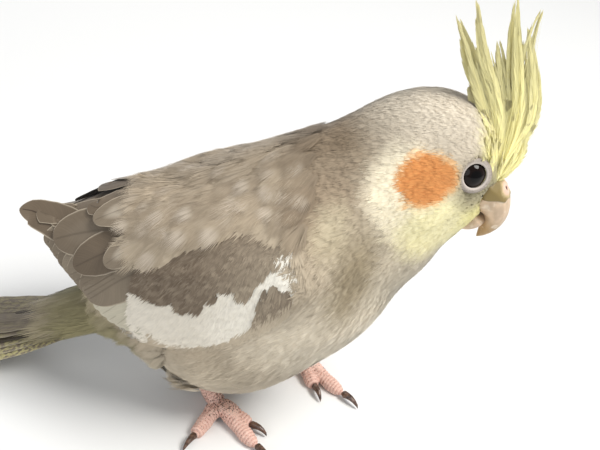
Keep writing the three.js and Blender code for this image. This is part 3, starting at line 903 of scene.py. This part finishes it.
def inside(outline, x, z):
    """Whether places lie inside an outline of straight edges."""
    held = np.zeros(len(x), bool)
    for (ax, az), (bx, bz) in zip(outline, outline[1:] + outline[:1]):
        crosses = (az > z) != (bz > z)
        held ^= crosses & (x < (bx - ax) * (z - az) / (bz - az + 1e-9) + ax)
    return held


def along_line(points, shares):
    """Places at equal shares of a line through points."""
    points = np.asarray(points, float)
    ends = np.linspace(0, 1, len(points))
    return np.stack([np.interp(shares, ends, column) for column in points.T], axis=-1)


def flank_places(flat, side):
    """Places on the outside of a wing from places seen from its side (x, z)."""
    down = np.clip(((WING_FRONT - flat[:, 0]) / (WING_FRONT - WING_TIP) - 0.6) / 0.4, 0, 1) ** 2
    down = down * (LEFT_WING_SETTLES if side > 0 else 0)
    places = np.empty((len(flat), 3))
    last = side * 8.0
    for i, ((x, z), drop) in enumerate(zip(flat, down)):
        start = Vector((x + 0.6 * drop, side * 70, z - drop))
        # A place above the back sinks until it meets its own side of the bird.
        for lower in np.arange(0, 6.5, 0.5):
            hit = shell.tree.ray_cast(start - Vector((0, 0, lower)), Vector((0, -side, 0)), 90)[0]
            if hit is not None and hit[1] * side > 0.5:
                last = hit[1]
                start[2] -= lower
                break
        places[i] = (start[0], last, start[2])
    return places


def row_mesh(name, gathered, patterns, rng, ups=None):
    """One mesh from single feathers: places, half width, heights, marks."""
    places, half, low, high, marks = (np.array(part, float) for part in zip(*gathered))
    if ups is None:
        ups = shell.nearest(places.reshape(-1, 3))[1].reshape(places.shape)
        ups[:, 1:-1] = unit(ups[:, 1:-1] + 0.5 * ups[:, :-2] + 0.5 * ups[:, 2:])
    return feather_mesh(name, patterns, places, ups, half, low, high, marks,
                        ground.uv_at(places[:, 0]), rng, VANE_STEP)


def grow_flights(patterns):
    rng = np.random.default_rng(21)
    shares = np.linspace(0, 1, 10)
    wanted, gathered = [], []
    for count, roots, tips, half, low, high, marks in FLIGHT_FANS:
        spread = np.linspace(0, 1, count)
        for k, (root, tip) in enumerate(zip(along_line(roots, spread), along_line(tips, spread))):
            wanted.append((root, tip, half, low + OVERLAP * k, high + OVERLAP * k, marks))
    for root, tip, half, high, marks in LARGE_FEATHERS:
        wanted.append((root, tip, half, high - TUCKED, high, marks))
    for root, tip, half, low, high, (pearl, white, pale) in wanted:
        flat = along_line([root, tip], shares)
        # Long feathers curve a little downward to their tips.
        flat[:, 1] += LONG_BEND * np.sin(np.pi * shares)
        for side in (-1, 1):
            own = np.clip(pale + rng.normal(0, 0.04), 0, 1)
            gathered.append((flank_places(flat, side), half * rng.uniform(0.95, 1.05), low, high,
                             (pearl, white, own)))
    hung(row_mesh("flight_vanes", gathered, patterns, rng),
         painted("wing_vane", wing_colour, 0.62, 0.15), "wing_feathers", *FLIGHTS)


def wing_colour(paint):
    """Grey-brown vanes with a pale rim, a pearl, a whitish end and painted shade towards the root.
    """
    (pearled, white, pale), own, _across, along, off = paint.feather()
    shown = paint.blend(pale, "5f5243", "c3b69f")
    shown = paint.blend(paint.eased(off, 0.9, 1.0, 0.0, 0.5), shown, "cfc2ac")
    pearl = paint.eased((off * 1.5) ** 2.0 + ((along - 0.62) * 3.4) ** 2.0, 1.0, 0.0)
    shown = paint.blend(pearl * pearled, shown, "cfc4b2")
    end = off * 0.12 + along - (1.1 - white)
    shown = paint.blend(paint.eased(end, 0.1, 0.26), shown, "b9b29e")
    strength = paint.sum("MAXIMUM", white * -1.0, 0.12)
    shown = paint.blend(paint.eased(off, 0.02, 0.07, 1.0, 0.0) * strength, shown, "41342a")
    barbs = paint.noise(paint.place(along * 60.0 - off * 12.0, off, pale), 1.0)
    tone = paint.ramp(barbs, 0.3, 0.7, 0.92, 1.06) * paint.ramp(own, 0.0, 1.0, 0.72, 1.28)
    # Painted shade: the vane darkens towards its root, where the feathers overlap.
    return paint.toned(shown, tone * paint.eased(along, 0.0, 0.7, 0.75, 1.02))


def wing_way(places, ups, shoulder):
    """The lie on a folded wing: down at its bend, and more and more backward behind it."""
    back = 0.10 + 0.66 * np.clip((-6 - places[:, 0]) / 34, 0, 1.6)
    back = np.where(shoulder, back + 0.45, back)
    out = np.where(shoulder, 0.35, 0.1) * np.sign(places[:, 1])
    return flat_on(unit(np.stack([-back, out, -np.ones(len(back))], axis=1)), ups)


def grow_wing_coat(patterns):
    """The dense soft coverts of both wings, over the skin."""
    rng = np.random.default_rng(31)
    roots, ups, uv = ground.scattered(rng, np.where(winged, 1.5, 0))
    roots, ups = shell.nearest(roots + ups * 2.2)
    shoulder = roots[:, 2] > hem(SHOULDER_HEM, roots[:, 0])
    ways = strayed(rng, wing_way(roots, ups, shoulder), ups, 0.12)
    count = len(roots)
    length = np.where(shoulder, 7.5, 6.5) * rng.uniform(0.75, 1.2, count)
    x, _y, z = (roots + ways * length[:, None]).T
    z = z + rng.normal(0, 0.5, count)
    # What a feather shows is settled by where its tip lies.
    shoulder = z > hem(SHOULDER_HEM, x)
    dark = (z > hem(COVERT_HEM, x)) & ~shoulder
    front = x > hem(FRONT_EDGE, z) + rng.normal(0, 0.4, count)
    spot = np.hypot((x - SPOT[0]) / SPOT_SIZE[0], (z - SPOT[1]) / SPOT_SIZE[1]) < 1
    thumb = inside(THUMB, x, z) & ~spot
    rear = x < WHITE_END
    white = ~shoulder & ~dark & ~thumb & (x > WHITE_END)
    under = z <= hem(WHITE_HEM, x) - np.where(rear, 5.0, 0.0)
    deep = np.clip(0.42 - (x + 10) * 0.028, 0.36, 0.92) + rng.uniform(-0.22, 0.12, count)
    dark_share = np.where(dark, deep, np.where(thumb, rng.uniform(0.3, 0.75, count), 0.0))
    white_share = np.where(white, 0.62 + 0.24 * smooth(-26, -12, x), 0.0) + spot
    white_share += 0.95 * (inside(WISPS, x, z) & (rng.random(count) < 0.5))
    dark_share[spot | front | under] = 0.0
    white_share[front | under] = 0.0
    marks = np.stack([dark_share, np.clip(white_share, 0, 1), np.zeros(count)], axis=1)
    kept = ~(rear & ~shoulder & ~under) & (x > WING_COAT_END)
    roots, ups, ways, uv, length, marks, white, thumb, shoulder = (
        v[kept] for v in (roots, ups, ways, uv, length, marks, white, thumb, shoulder))
    places, rises = walked(shell, roots, ups, ways, length, 4)
    half = np.where(shoulder, 1.5, 1.2) * rng.uniform(0.8, 1.25, len(roots))
    low = np.where(shoulder, -0.4, -0.75) - np.where(white, 0.35, 0)
    high = low + rng.uniform(0.35, 0.6, len(roots)) + np.where(thumb, 0.3, 0)
    piece = feather_mesh("wing_down", patterns, places, rises, half, low, high, marks, uv, rng,
                         WING_STEP)
    hung(piece, soft_plumage, "wing_feathers")


def grow_shoulders(patterns):
    """Broad soft feathers that overlap on shoulders and back, many with a faint pearl."""
    rng = np.random.default_rng(8)
    x, _y, z = shell.centres.T
    held = (x > THIN_WING) & (x < 0) & (z > hem(SHOULDER_HEM, x) + 4.5) & (shell.ups[:, 2] > -0.2)
    held &= rng.random(len(x)) < SHOULDER_SHARE
    roots, ups = shell.centres[held], shell.ups[held]
    ways = strayed(rng, wing_way(roots, ups, np.ones(len(roots), bool)), ups, 0.12)
    places, _rises = walked(shell, roots, ups, ways, rng.uniform(8.5, 11.5, len(roots)), 5)
    gathered = []
    for line in places:
        pearl = rng.uniform(0.1, 0.6) * (rng.random() < 0.5)
        gathered.append((line, rng.uniform(3.0, 3.9), -0.2, rng.uniform(0.2, 0.55),
                         (rng.uniform(0, 0.22), 0, pearl)))
    for ends in PEARLED:
        for side in (-1, 1):
            line = flank_places(along_line(ends, np.linspace(0, 1, 5)), side)
            gathered.append((line, 3.7, -0.1, 0.75, (0.05, 0, 0.65)))
    hung(row_mesh("shoulder_feathers", gathered, patterns, rng), soft_plumage, "wing_feathers")


shell_form = rounded(FLESH + BALLS + FLIGHTS, "shell", 1.2, 5, CLOSING)
shell = Surface(shell_form.data)
bpy.data.objects.remove(shell_form)

rng = np.random.default_rng(5)
sheets = [sheet_pattern(rng, 19, 9, 5, 0.5, 0.02) for _ in range(4)]
soft = [tuft_pattern(rng, 6, 0.3, 5.0) for _ in range(10)]
broad = [tuft_pattern(rng, 44, 0.16, 1.4) for _ in range(5)]
grow_wing_coat(soft)
grow_shoulders(broad)
grow_flights(sheets)


# Tail

TAIL_LINE = [(-42, -2, 29), (-56, -3.5, 20.5), (-74, -4.5, 10.5), (-96, -5.5, 3.9),
             (-128, -7, 2.4), (-192, -10, 1.1)]
TAIL_PAIRS = 6
# How far each pair lies outside the last, and how long the outermost is.
TAIL_FAN, SHORTEST_TAIL_FEATHER = 1.75, 0.5
# The tail lies this far to the left of the line of its root.
TAIL_SIDE = 2.6
# The pair with nearly black vanes: painted shade that stands for the dark gap between the tail's
# upper and lower feathers.
SHADED_GAP_PAIR = 2
# The soft sleeve of feathers round the root of the tail: rings, feathers in each, half width,
# half depth, and how it narrows along the tail.
SLEEVE_RINGS, RING_FEATHERS = 6, 22
SLEEVE_HALF, SLEEVE_RISE = 11.6, 6.4
SLEEVE_RUN, SLEEVE_SIZE = (0, 0.34), (1.0, 0.55)
# The vent's feathers start between these places in x and below this height, and those behind the
# legs end where the vent begins and start lower.
VENT_END, VENT_START, VENT_TOP = -50, -29, 43
THIGH_START, THIGH_TOP, VENT_SHARE = -13, 16, 0.8


def smooth_line(points, shares):
    """Places along a curve that passes through points, by equal lengths."""
    points = np.asarray(points, float)
    padded = np.vstack([2 * points[0] - points[1], points, 2 * points[-1] - points[-2]])
    fine = []
    for k in range(len(points) - 1):
        a, b, c, d = padded[k : k + 4]
        t = np.linspace(0, 1, 24, endpoint=k == len(points) - 2)[:, None]
        fine.append(0.5 * (2 * b + (c - a) * t + (2 * a - 5 * b + 4 * c - d) * t**2
                           + (3 * b - a - 3 * c + d) * t**3))
    fine = np.concatenate(fine)
    run = np.concatenate([[0], np.cumsum(np.linalg.norm(np.diff(fine, axis=0), axis=1))])
    return np.stack([np.interp(np.asarray(shares) * run[-1], run, c) for c in fine.T], axis=-1)


def grow_tail(patterns):
    rng = np.random.default_rng(17)
    spread = np.minimum(1, 0.3 + np.arange(14) * 0.1)
    rows = []
    for pair in range(TAIL_PAIRS):
        share = pair / (TAIL_PAIRS - 1)
        reach = 1 + (SHORTEST_TAIL_FEATHER - 1) * share**0.8
        for side in (-1, 1):
            line = smooth_line(TAIL_LINE, reach * np.linspace(0.02, 1, len(spread)))
            line[:, 1] += (TAIL_SIDE + side * (0.8 + pair * TAIL_FAN)) * spread
            level = 1.3 - (3.0 if side < 0 else 0.5) * share
            least = 0.35 + 0.25 * (TAIL_PAIRS - pair) * (0.6 + 0.1 * side)
            line[:, 2] = np.maximum(line[:, 2] + level, least)
            yellow = (0.15 + 0.75 * share) * (1 if side < 0 else 0.35)
            # The nearly black pair is painted shade for the gap between the tail's upper and lower
            # feathers.
            black = 0.9 if pair == SHADED_GAP_PAIR else 0.0
            rows.append((line, 5.2 - 0.9 * share, 0.0, 0.0, (yellow, black, 0.5)))
    ahead = unit(np.gradient(np.array([row[0] for row in rows]), axis=1))
    ups = flat_on(np.broadcast_to((0.0, 0.0, 1.0), ahead.shape), ahead)
    hung(row_mesh("tail_vanes", rows, patterns, rng, ups),
         painted("tail_vane", tail_colour, 0.6, 0.15), "tail_feathers", "tail")


def tail_colour(paint):
    """Grey-brown vanes with fine bars and dull yellow towards the outer feathers, and one nearly
    black pair as painted shade.
    """
    (yellow, black, _none), own, across, along, off = paint.feather()
    mottle = paint.noise(paint.place(along * 46.0, across * 7.0, yellow), 1.3, 3.0)
    shown = paint.blend(paint.eased(mottle, 0.44, 0.56) * yellow, "796e5f", "b9b07e")
    shown = paint.blend(paint.ramp(off, 0.8, 1.0, 0.0, 0.35), shown, "c8bfa8")
    # Painted shade: the nearly black pair stands for the shaded gap in the tail.
    shown = paint.blend(black, shown, "2d241b")
    barbs = paint.noise(paint.place(along * 260.0 - off * 16.0, off), 1.0)
    tone = paint.ramp(barbs, 0.3, 0.7, 0.86, 1.1) * paint.ramp(own, 0.0, 1.0, 0.5, 1.45)
    return paint.toned(shown, tone)


def grow_tail_coverts(patterns):
    """Soft feathers that run from rump and vent over the root of the tail."""
    rng = np.random.default_rng(41)
    places, ups = [], []
    turns = np.arange(0, 2 * math.pi, 2 * math.pi / RING_FEATHERS)
    for ring, share in enumerate(np.linspace(-0.015, 0.115, SLEEVE_RINGS)):
        for turn in turns + ring * 0.4:
            turn += rng.normal(0, 0.05)
            run = share + np.linspace(0, 0.105, 6) * rng.uniform(0.85, 1.2)
            line = smooth_line(TAIL_LINE, np.clip(run, 0, 1))
            line += unit(line[-1] - line[0]) * np.minimum(run, 0)[:, None] * 170
            ahead = unit(np.gradient(line, axis=0))
            over = unit(np.stack([-ahead[:, 2], np.zeros(len(run)), ahead[:, 0]], axis=1))
            over *= np.sign(over[:, 2:])
            across, tall = math.cos(turn), math.sin(turn)
            size = np.interp(run, SLEEVE_RUN, SLEEVE_SIZE)[:, None]
            line += size * (over * SLEEVE_RISE * tall + (0, SLEEVE_HALF * across + TAIL_SIDE, 0))
            line[:, 2] = np.maximum(line[:, 2], 1.4)
            places.append(line)
            ups.append(unit(over * tall / SLEEVE_RISE + (0, across / SLEEVE_HALF, 0)))
    places, count = np.array(places), len(places)
    piece = feather_mesh("tail_coverts", patterns, places, np.array(ups),
                         rng.uniform(2.0, 2.9, count), np.full(count, -0.3),
                         rng.uniform(0.1, 0.6, count), np.zeros((count, 3)),
                         ground.uv_at(places[:, 0]), rng, SOFT_STEP)
    hung(piece, soft_plumage, "body_feathers")


def grow_vent(patterns):
    """Loose feathers that hang under the root of the tail and behind the legs."""
    rng = np.random.default_rng(43)
    x, _y, z = ground.centres.T
    vent = (x < VENT_START) & (x > VENT_END) & (z < VENT_TOP)
    thigh = (x >= VENT_START) & (x < THIGH_START) & (z < THIGH_TOP)
    below = ground.ups[:, 2] < 0.15
    roots, ups, uv = ground.scattered(rng, VENT_SHARE * (below & (vent | thigh)))
    count = len(roots)
    ways = strayed(rng, lie(roots, ups), ups, 0.15)
    places, rises = walked(ground, roots, ups, ways, rng.uniform(7, 11, count), 5)
    low = rng.uniform(0.4, 3.0, count)
    high = low + rng.uniform(1.2, 3.4, count)
    # Those behind the legs run straight back to where the belly ends.
    straight = (roots[:, 0] > -26) & (roots[:, 2] < THIGH_TOP)
    reach = np.maximum((roots[:, 0] + 29.5) * rng.uniform(0.8, 1.05, count), 4)
    back = unit(np.stack([-np.ones(count), rng.normal(0, 0.12, count),
                          rng.uniform(-0.25, 0.1, count)], axis=1))
    run = roots[:, None] + back[:, None] * (reach[:, None] * np.linspace(0, 1, 5))[..., None]
    run[..., 2] = np.maximum(run[..., 2], 7.0)
    places[straight], rises[straight] = run[straight], ups[straight][:, None]
    low[straight], high[straight] = 0.4, 0.6
    piece = feather_mesh("vent_feathers", patterns, places, rises, rng.uniform(1.3, 2.0, count),
                         low, high, np.zeros((count, 3)), uv, rng, SOFT_STEP)
    hung(piece, soft_plumage, "body_feathers")


grow_tail([sheet_pattern(rng, 34, 9, 7, 0.35, 0.05) for _ in range(4)])
fluffy = [tuft_pattern(rng, 18, 0.2, 3.2) for _ in range(5)]
grow_tail_coverts(fluffy)
grow_vent(fluffy)


# Crest

# The locks of the crest seen from the side, from its front to its back: how many feathers, how
# grey, and the line from root to tip (x, z).
CREST_LOCKS = [
    (26, 0.0, [(47, 90.2), (48, 91.4), (47.7, 94.8), (47.2, 98.8), (47.1, 103.3), (46.8, 107.5)]),
    (26, 0.0, [(48.6, 92.1), (48.4, 100.1), (48.2, 106.4), (46.6, 112.9), (44.2, 119),
               (41.9, 124.3), (39.2, 130.5)]),
    (7, 0.15, [(48, 93.5), (47.9, 102.9), (44.6, 112.4), (41.8, 121.7), (40.9, 129.4),
               (41.2, 136)]),
    (30, 0.0, [(47.2, 93.6), (45.6, 102.3), (43.3, 110.4), (40.5, 118.1), (38.4, 124.1),
               (36.3, 129.9), (34.3, 137.5)]),
    (14, 0.1, [(45.5, 96.9), (43.9, 105.5), (40.4, 113.1), (36.5, 120.4), (33.8, 125.7)]),
    (24, 0.15, [(44.9, 96.7), (41.6, 104.8), (37.3, 112.3), (33.6, 118.1), (30.3, 123.8),
                (27.7, 129.4), (25.5, 134.4)]),
    (22, 0.15, [(43.6, 96.4), (39.5, 104.4), (35, 110.8), (30.6, 117.1), (27.5, 122.2),
                (24.4, 126.4), (22.6, 129.1)]),
    (14, 0.4, [(40.8, 99.5), (37.3, 104.5), (33.2, 109.7), (30.5, 112.4)]),
]
# How far the roots and the tips of a lock spread to both sides.
CREST_ROOTS, CREST_TIPS = 5.2, 1.2
# Broader, shorter feathers that fill the lower half, as a share of each lock's own.
CREST_VEIL = 0.7
FOREHEAD_PLUMES = 190


def grow_crest(vanes, veils):
    rng = np.random.default_rng(23)
    run = np.linspace(0, 1, 11)
    gathered = []
    for count, grey, line in CREST_LOCKS:
        for blade in range(count + round(count * CREST_VEIL)):
            side = rng.uniform(-1, 1)
            veil = blade >= count
            reach = 1.0 if blade < 3 else rng.uniform(0.2, 1.0) ** 0.75
            reach = rng.uniform(0.3, 0.68) if veil else reach
            flat = smooth_line(line, reach * run)
            bulge = np.sin(np.pi * run * reach) + 0.18 * run
            flat[:, 0] += np.clip(rng.normal(0, 1.25), -2.4, 2.4) * bulge
            spread = side * (CREST_ROOTS + (CREST_TIPS - CREST_ROOTS) * run**0.6)
            points = np.stack([flat[:, 0], HEAD_SIDE + spread, flat[:, 1]], axis=1)
            # The roots rise out of the forehead, on both sides of its middle.
            out = unit(np.array([0.75, 0.3 * side, 0.6]))
            hit = ground.tree.ray_cast(Vector(points[0] + out * 15), Vector(-out), 30)[0]
            if hit is not None:
                share = np.clip(1 - run * reach * 2.2, 0, 1)[:, None] ** 2
                points += (np.array(hit) + out * 0.2 - points[0]) * share
            rises = flat_on(np.broadcast_to((0.25, -1.0, 0.0), points.shape),
                            unit(np.gradient(points, axis=0)))
            half = rng.uniform(1.6, 2.3) if veil else rng.uniform(0.7, 1.25) * (0.6 + 0.4 * reach)
            own = np.clip(grey * rng.uniform(0.4, 1.3), 0, 1)
            gathered.append((points, rises, half, (own, rng.random(), 0.0), veil))
    # Short plumes cover the forehead under the locks.
    x, y, z = ground.centres.T
    brow = ((x > 39.5) & (z > 89.5) & (z < 103) & (np.abs(y - HEAD_SIDE) < 6.5)
            & (from_eyes(ground.centres) > 5.0))
    brow = rng.choice(np.flatnonzero(brow), FOREHEAD_PLUMES)
    roots, ups = ground.centres[brow], ground.ups[brow]
    places, rises = walked(ground, roots, ups, flat_on(lie(roots, ups) + (0, 0, 0.5), ups),
                           rng.uniform(4.5, 10, FOREHEAD_PLUMES), len(run))
    places = places + rises * (0.25 + 1.3 * run[None, :, None] ** 1.5)
    for line, rise in zip(places, rises):
        gathered.append((line, rise, rng.uniform(0.6, 1.0), (0.0, rng.random() * 0.5, 0.0), False))
    lines, ups, halves, marks, veiled = map(np.array, zip(*gathered))
    look = painted("crest_vane", crest_colour, 0.6, 0.2)
    for name, chosen, patterns, nodes in (("crest_vanes", ~veiled, vanes, ["crest"]),
                                          ("crest_veil", veiled, veils, [])):
        level = np.zeros(chosen.sum())
        piece = feather_mesh(name, patterns, lines[chosen], ups[chosen], halves[chosen], level,
                             level, marks[chosen], ground.uv_at(lines[chosen, 0]), rng,
                             CREST_STEP)
        hung(piece, look, "crest_feathers", *nodes)


def crest_colour(paint):
    """Soft yellow, paler to the tips and greyer at the back, with a few dark flecks."""
    (grey, number, _none), own, across, along, _off = paint.feather()
    shown = paint.blend(paint.eased(along, 0.1, 0.95), "fff6ae", "d6ce97")
    shown = paint.blend(grey, shown, "a89c80")
    fleck = paint.noise(paint.place(along * 7.0, across, number * 40.0), 1.0)
    shown = paint.blend(paint.eased(fleck, 0.66, 0.74, 0.0, 0.6), shown, "6d6140")
    return paint.toned(shown, paint.ramp(own, 0.0, 1.0, 0.93, 1.14))


grow_crest([vane_pattern(rng, 22, 0.5, 28.0, 1.7, 0.24, 0.42) for _ in range(8)],
           [vane_pattern(rng, 34, 0.55, 9.0, 1.4, 0.26, 0.2) for _ in range(6)])


# Eyes

RING_MIDDLE, RING_THICK = 3.7, 0.58
# How far before its eye's middle a ball and a ring sit.
BALL_AHEAD, RING_AHEAD = 0.3, 3.5
# How round the head is about the eye, as a radius.
HEAD_BEND = 15.0


def eye_colour(paint):
    """Nearly black, with a dark brown iris round the pupil."""
    iris = paint.eased(paint.noted("from_pupil"), 0.42, 0.62)
    return paint.blend(iris, (0.002, 0.0015, 0.0015, 1), (0.007, 0.003, 0.002, 1))


def lid_colour(paint):
    grain, out = paint.noise(paint.here(), 2600.0, 3.0), paint.noted("from_pupil")
    paint.bump(grain, 0.35, 0.0002)
    shown = paint.blend(paint.ramp(grain, 0.35, 0.65), "8c8279", "a99f95")
    shown = paint.blend(paint.eased(out, 3.3, 3.8, 1.0, 0.0), shown, "bdb3aa")
    return paint.blend(paint.eased(out, 3.95, 4.3), shown, "7d7369")


def settled(piece):
    """Moves a piece's place and turn into its mesh."""
    select_only(piece)
    bpy.ops.object.transform_apply(location=True, rotation=True, scale=True)


def make_eye(word, wet, bare):
    middle, way = EYES[word]
    turn = Vector((0, 0, 1)).rotation_difference(Vector(way)).to_euler()
    bpy.ops.mesh.primitive_uv_sphere_add(
        segments=48, ring_count=32, radius=EYE_BALL * MM,
        location=metres(middle + way * BALL_AHEAD), rotation=turn)
    ball = bpy.context.object
    x, y, _z = read(ball.data.vertices, "co", 3).T / MM
    settled(ball)
    noted(ball.data, from_pupil=np.hypot(x, y) / EYE_OPENING)
    finished(ball, f"eyeball_{word}", wet, "eye", f"eye_{word}")
    bpy.ops.mesh.primitive_torus_add(
        major_radius=RING_MIDDLE * MM, minor_radius=RING_THICK * MM, major_segments=96,
        minor_segments=24, location=metres(middle + way * RING_AHEAD), rotation=turn)
    ring = bpy.context.object
    x, y, z = read(ring.data.vertices, "co", 3).T / MM
    radius, angle = np.hypot(x, y), np.arctan2(y, x)
    outer = smooth(RING_MIDDLE - 0.3, RING_MIDDLE + RING_THICK, radius)
    folds = 0.05 * np.sin(angle * 31 + 2 * np.sin(angle * 3)) + 0.04 * np.sin(angle * 47 + 1)
    stretch = 1 + outer * (0.10 + 0.03 * np.sin(angle * 2 + 0.6))
    drop = (radius**2 - RING_MIDDLE**2) / (2 * HEAD_BEND)
    z = z * 0.8 - drop + folds * outer
    reshape(ring.data, np.stack([x * stretch, y * stretch, z], axis=1) * MM)
    settled(ring)
    noted(ring.data, from_pupil=radius)
    finished(ring, f"eye_ring_{word}", bare, "foot_skin")


eye_look = painted("eye_wet", eye_colour, 0.03, specular=0.2)
lid_look = painted("bare_lid", lid_colour, 0.5)
for word in EYES:
    make_eye(word, eye_look, lid_look)


# Bill

BILL_TIP = (45.6, 2, 70.6)
# The cere is the part of the upper bill above this height. Each nostril opens through it.
CERE_HEIGHT = 84.9
NOSTRIL = (48.0, 1.6, 87.2)
# A shallow notch in the cutting edge, and the rear of the overgrown lobe behind it (x, z).
NOTCH, LOBE_REAR = (44.2, 77.4), (43.0, 80.2)
# A distance from tip or nostril that no marking reaches.
FAR = 30.0


def bill_colour(paint):
    """Horn that turns brown towards its tip, with a soft cere, painted shade on the cere away from
    the nostrils, and dark nostrils.
    """
    spot, off = paint.here(), paint.noted("from_nostril")
    streaks = paint.noise(paint.node("Mapping", Vector=spot, Scale=(450, 900, 260)), 1.0, 3.0)
    paint.bump(streaks, 0.35, 0.0002)
    shown = paint.blend(paint.eased(paint.noted("from_tip"), 3.5, 9.5), "a58659", "cab195")
    shown = paint.blend(paint.eased(paint.noise(spot, 420.0), 0.55, 0.7), shown, "d9c7af")
    shown = paint.toned(shown, paint.eased(streaks, 0.3, 0.7, 0.85, 1.07))
    ragged = paint.noise(spot, 700.0) * 2.5 + off
    # Away from the nostril the cere darkens to olive brown: painted shade of the groove between the
    # forehead's feathers and the cere.
    cere = paint.blend(paint.eased(ragged, 2.2, 4.6), "c9b48c", "7d6c42")
    cere = paint.blend(paint.eased(off, 1.1, 2.2), "dcb9a6", cere)
    shown = paint.blend(paint.noted("cere"), shown, cere)
    return paint.blend(paint.eased(off, 0.42, 0.72), "2c1611", shown)


def make_bill():
    look = painted("bill_horn", bill_colour, 0.45, specular=0.4)
    upper = rounded(["upper_bill"], "bill_upper", 0.2, 8, 0.12)
    places = spots(upper.data)
    ups = read(upper.data.vertex_normals, "vector", 3)
    x, y, z = places.T
    side = np.abs(y - HEAD_SIDE)
    line = CERE_HEIGHT - 0.5 * smooth(1.5, 4.5, side) + 0.25 * np.sin(side * 3)
    cere = smooth(-0.25, 0.25, z - line)
    hole = np.linalg.norm(np.stack([x, side, z], axis=1) - NOSTRIL, axis=1)
    swell = 0.32 * cere + 0.2 * np.exp(-(((hole - 0.95) / 0.4) ** 2))
    swell -= 0.75 * (1 - smooth(0.15, 0.7, hole))
    notch = np.hypot(x - NOTCH[0], z - NOTCH[1])
    swell -= 0.5 * (1 - smooth(0.3, 1.6, notch)) * smooth(1, 3, side)
    # The rear of the overgrown lobe closes on the lower bill.
    rear = np.hypot(x - LOBE_REAR[0], z - LOBE_REAR[1])
    swell += 0.5 * (1 - smooth(0.6, 2.6, rear))
    places = places + ups * swell[:, None]
    places[:, 0] -= 2.2 * (1 - smooth(1.0, 3.6, rear)) * smooth(0.8, 2.2, side)
    reshape(upper.data, metres(places))
    noted(upper.data, cere=cere, from_nostril=hole,
          from_tip=np.linalg.norm(places - BILL_TIP, axis=1))
    finished(upper, "bill_upper", look, "bill", "upper_bill")
    lower = rounded(["lower_bill"], "bill_lower", 0.22, 5, 0.35)
    far = np.full(len(lower.data.vertices), FAR)
    noted(lower.data, cere=far * 0, from_nostril=far, from_tip=far)
    finished(lower, "bill_lower", look, "bill", "lower_bill")


make_bill()


# Feet and claws

TOE_MIDDLE = 2.1
# Each foot's middle, its ankle, and the ways its four toes point, in degrees.
FEET = {
    "right": ((-12.5, -11, TOE_MIDDLE), (-25, -9, 16), (128, -24, -44, -112)),
    "left": ((10.5, 15.5, TOE_MIDDLE), (-1, 12, 18), (-160, -64, -38, 84)),
}
TOE_LENGTHS = (8.5, 12, 18.5, 14.5)
# The length of a scale ring along toes and leg, its depth, and the height where a leg starts.
SCUTE, SCUTE_DEPTH, LEG_START = 1.0, 0.46, 4.4


def foot_colour(paint):
    """Pink scaly skin with pale scale edges and dark flecks about the hub."""
    spot = paint.here()
    cells = paint.node("TexVoronoi", settings={"feature": "DISTANCE_TO_EDGE"}, Vector=spot,
                       Scale=1500.0)
    gap = paint.eased(cells, 0.0, 0.12)
    paint.bump(gap, 0.6, 0.00012)
    shown = paint.blend(paint.noise(spot, 420.0), "d6a796", "efcdbe")
    shown = paint.blend(paint.noted("scute"), "a86a5c", shown)
    shown = paint.blend(gap, "e6c7b8", shown)
    least = paint.eased(paint.noted("from_hub"), 2.0, 11.0, 0.54, 0.68)
    return paint.blend(paint.sum("GREATER_THAN", paint.noise(spot, 2300.0), least), shown,
                       "5b4038")


def make_foot(word, look):
    foot = rounded([f"foot_{word}", f"leg_{word}"], f"scaly_foot_{word}", 0.32, 5, 0.2)
    places = spots(foot.data)
    ups = read(foot.data.vertex_normals, "vector", 3)
    hub, ankle, turns = (np.array(part, float) for part in FEET[word])
    best, along = np.full(len(places), 1e9), np.zeros(len(places))
    for turn, length in zip(np.radians(turns), TOE_LENGTHS):
        way = np.array([math.cos(turn), math.sin(turn), 0.0])
        run = (places - hub) @ way
        share = np.clip(run, 0, length)
        gap = np.linalg.norm(places - hub - share[:, None] * way, axis=1)
        along = np.where(gap < best, run, along)
        best = np.minimum(best, gap)
    on_leg = places[:, 2] > LEG_START
    along = np.where(on_leg, (places - hub) @ unit(ankle - hub), along)
    ring = np.abs(np.sin(np.pi * along / SCUTE)) ** 0.55
    top = smooth(-0.5, 0.5, ups[:, 2] + on_leg)
    toes = smooth(0.5, 3.0, along)
    rise = (ring - 0.7) * SCUTE_DEPTH * toes * (0.45 + 0.55 * top)
    places = places + ups * rise[:, None]
    places[:, 2] = np.maximum(places[:, 2], 0.02)
    reshape(foot.data, metres(places))
    noted(foot.data, scute=1 - (1 - ring) * toes,
          from_hub=np.linalg.norm(places - hub, axis=1))
    finished(foot, f"scaly_foot_{word}", look, "foot_skin", f"foot_{word}", f"leg_{word}")


def claw_colour(paint):
    grain = paint.noise(paint.here(), 900.0, 3.0)
    paint.bump(grain, 0.15, 0.0001)
    return paint.blend(paint.ramp(grain, 0.35, 0.65), "3a2a22", "6b5244")


scaly = painted("scaly_skin", foot_colour, 0.5)
claw_look = painted("claw_horn", claw_colour, 0.22, specular=0.55)
for word in FEET:
    make_foot(word, scaly)
    nodes = [f"claw_{word}_{claw}" for claw in range(1, 5)]
    claws = rounded(nodes, f"claws_{word}", 0.17, 3, 0.06)
    finished(claws, f"claws_{word}", claw_look, "claw", *nodes)

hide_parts(*FLESH)
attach(skin, "root")
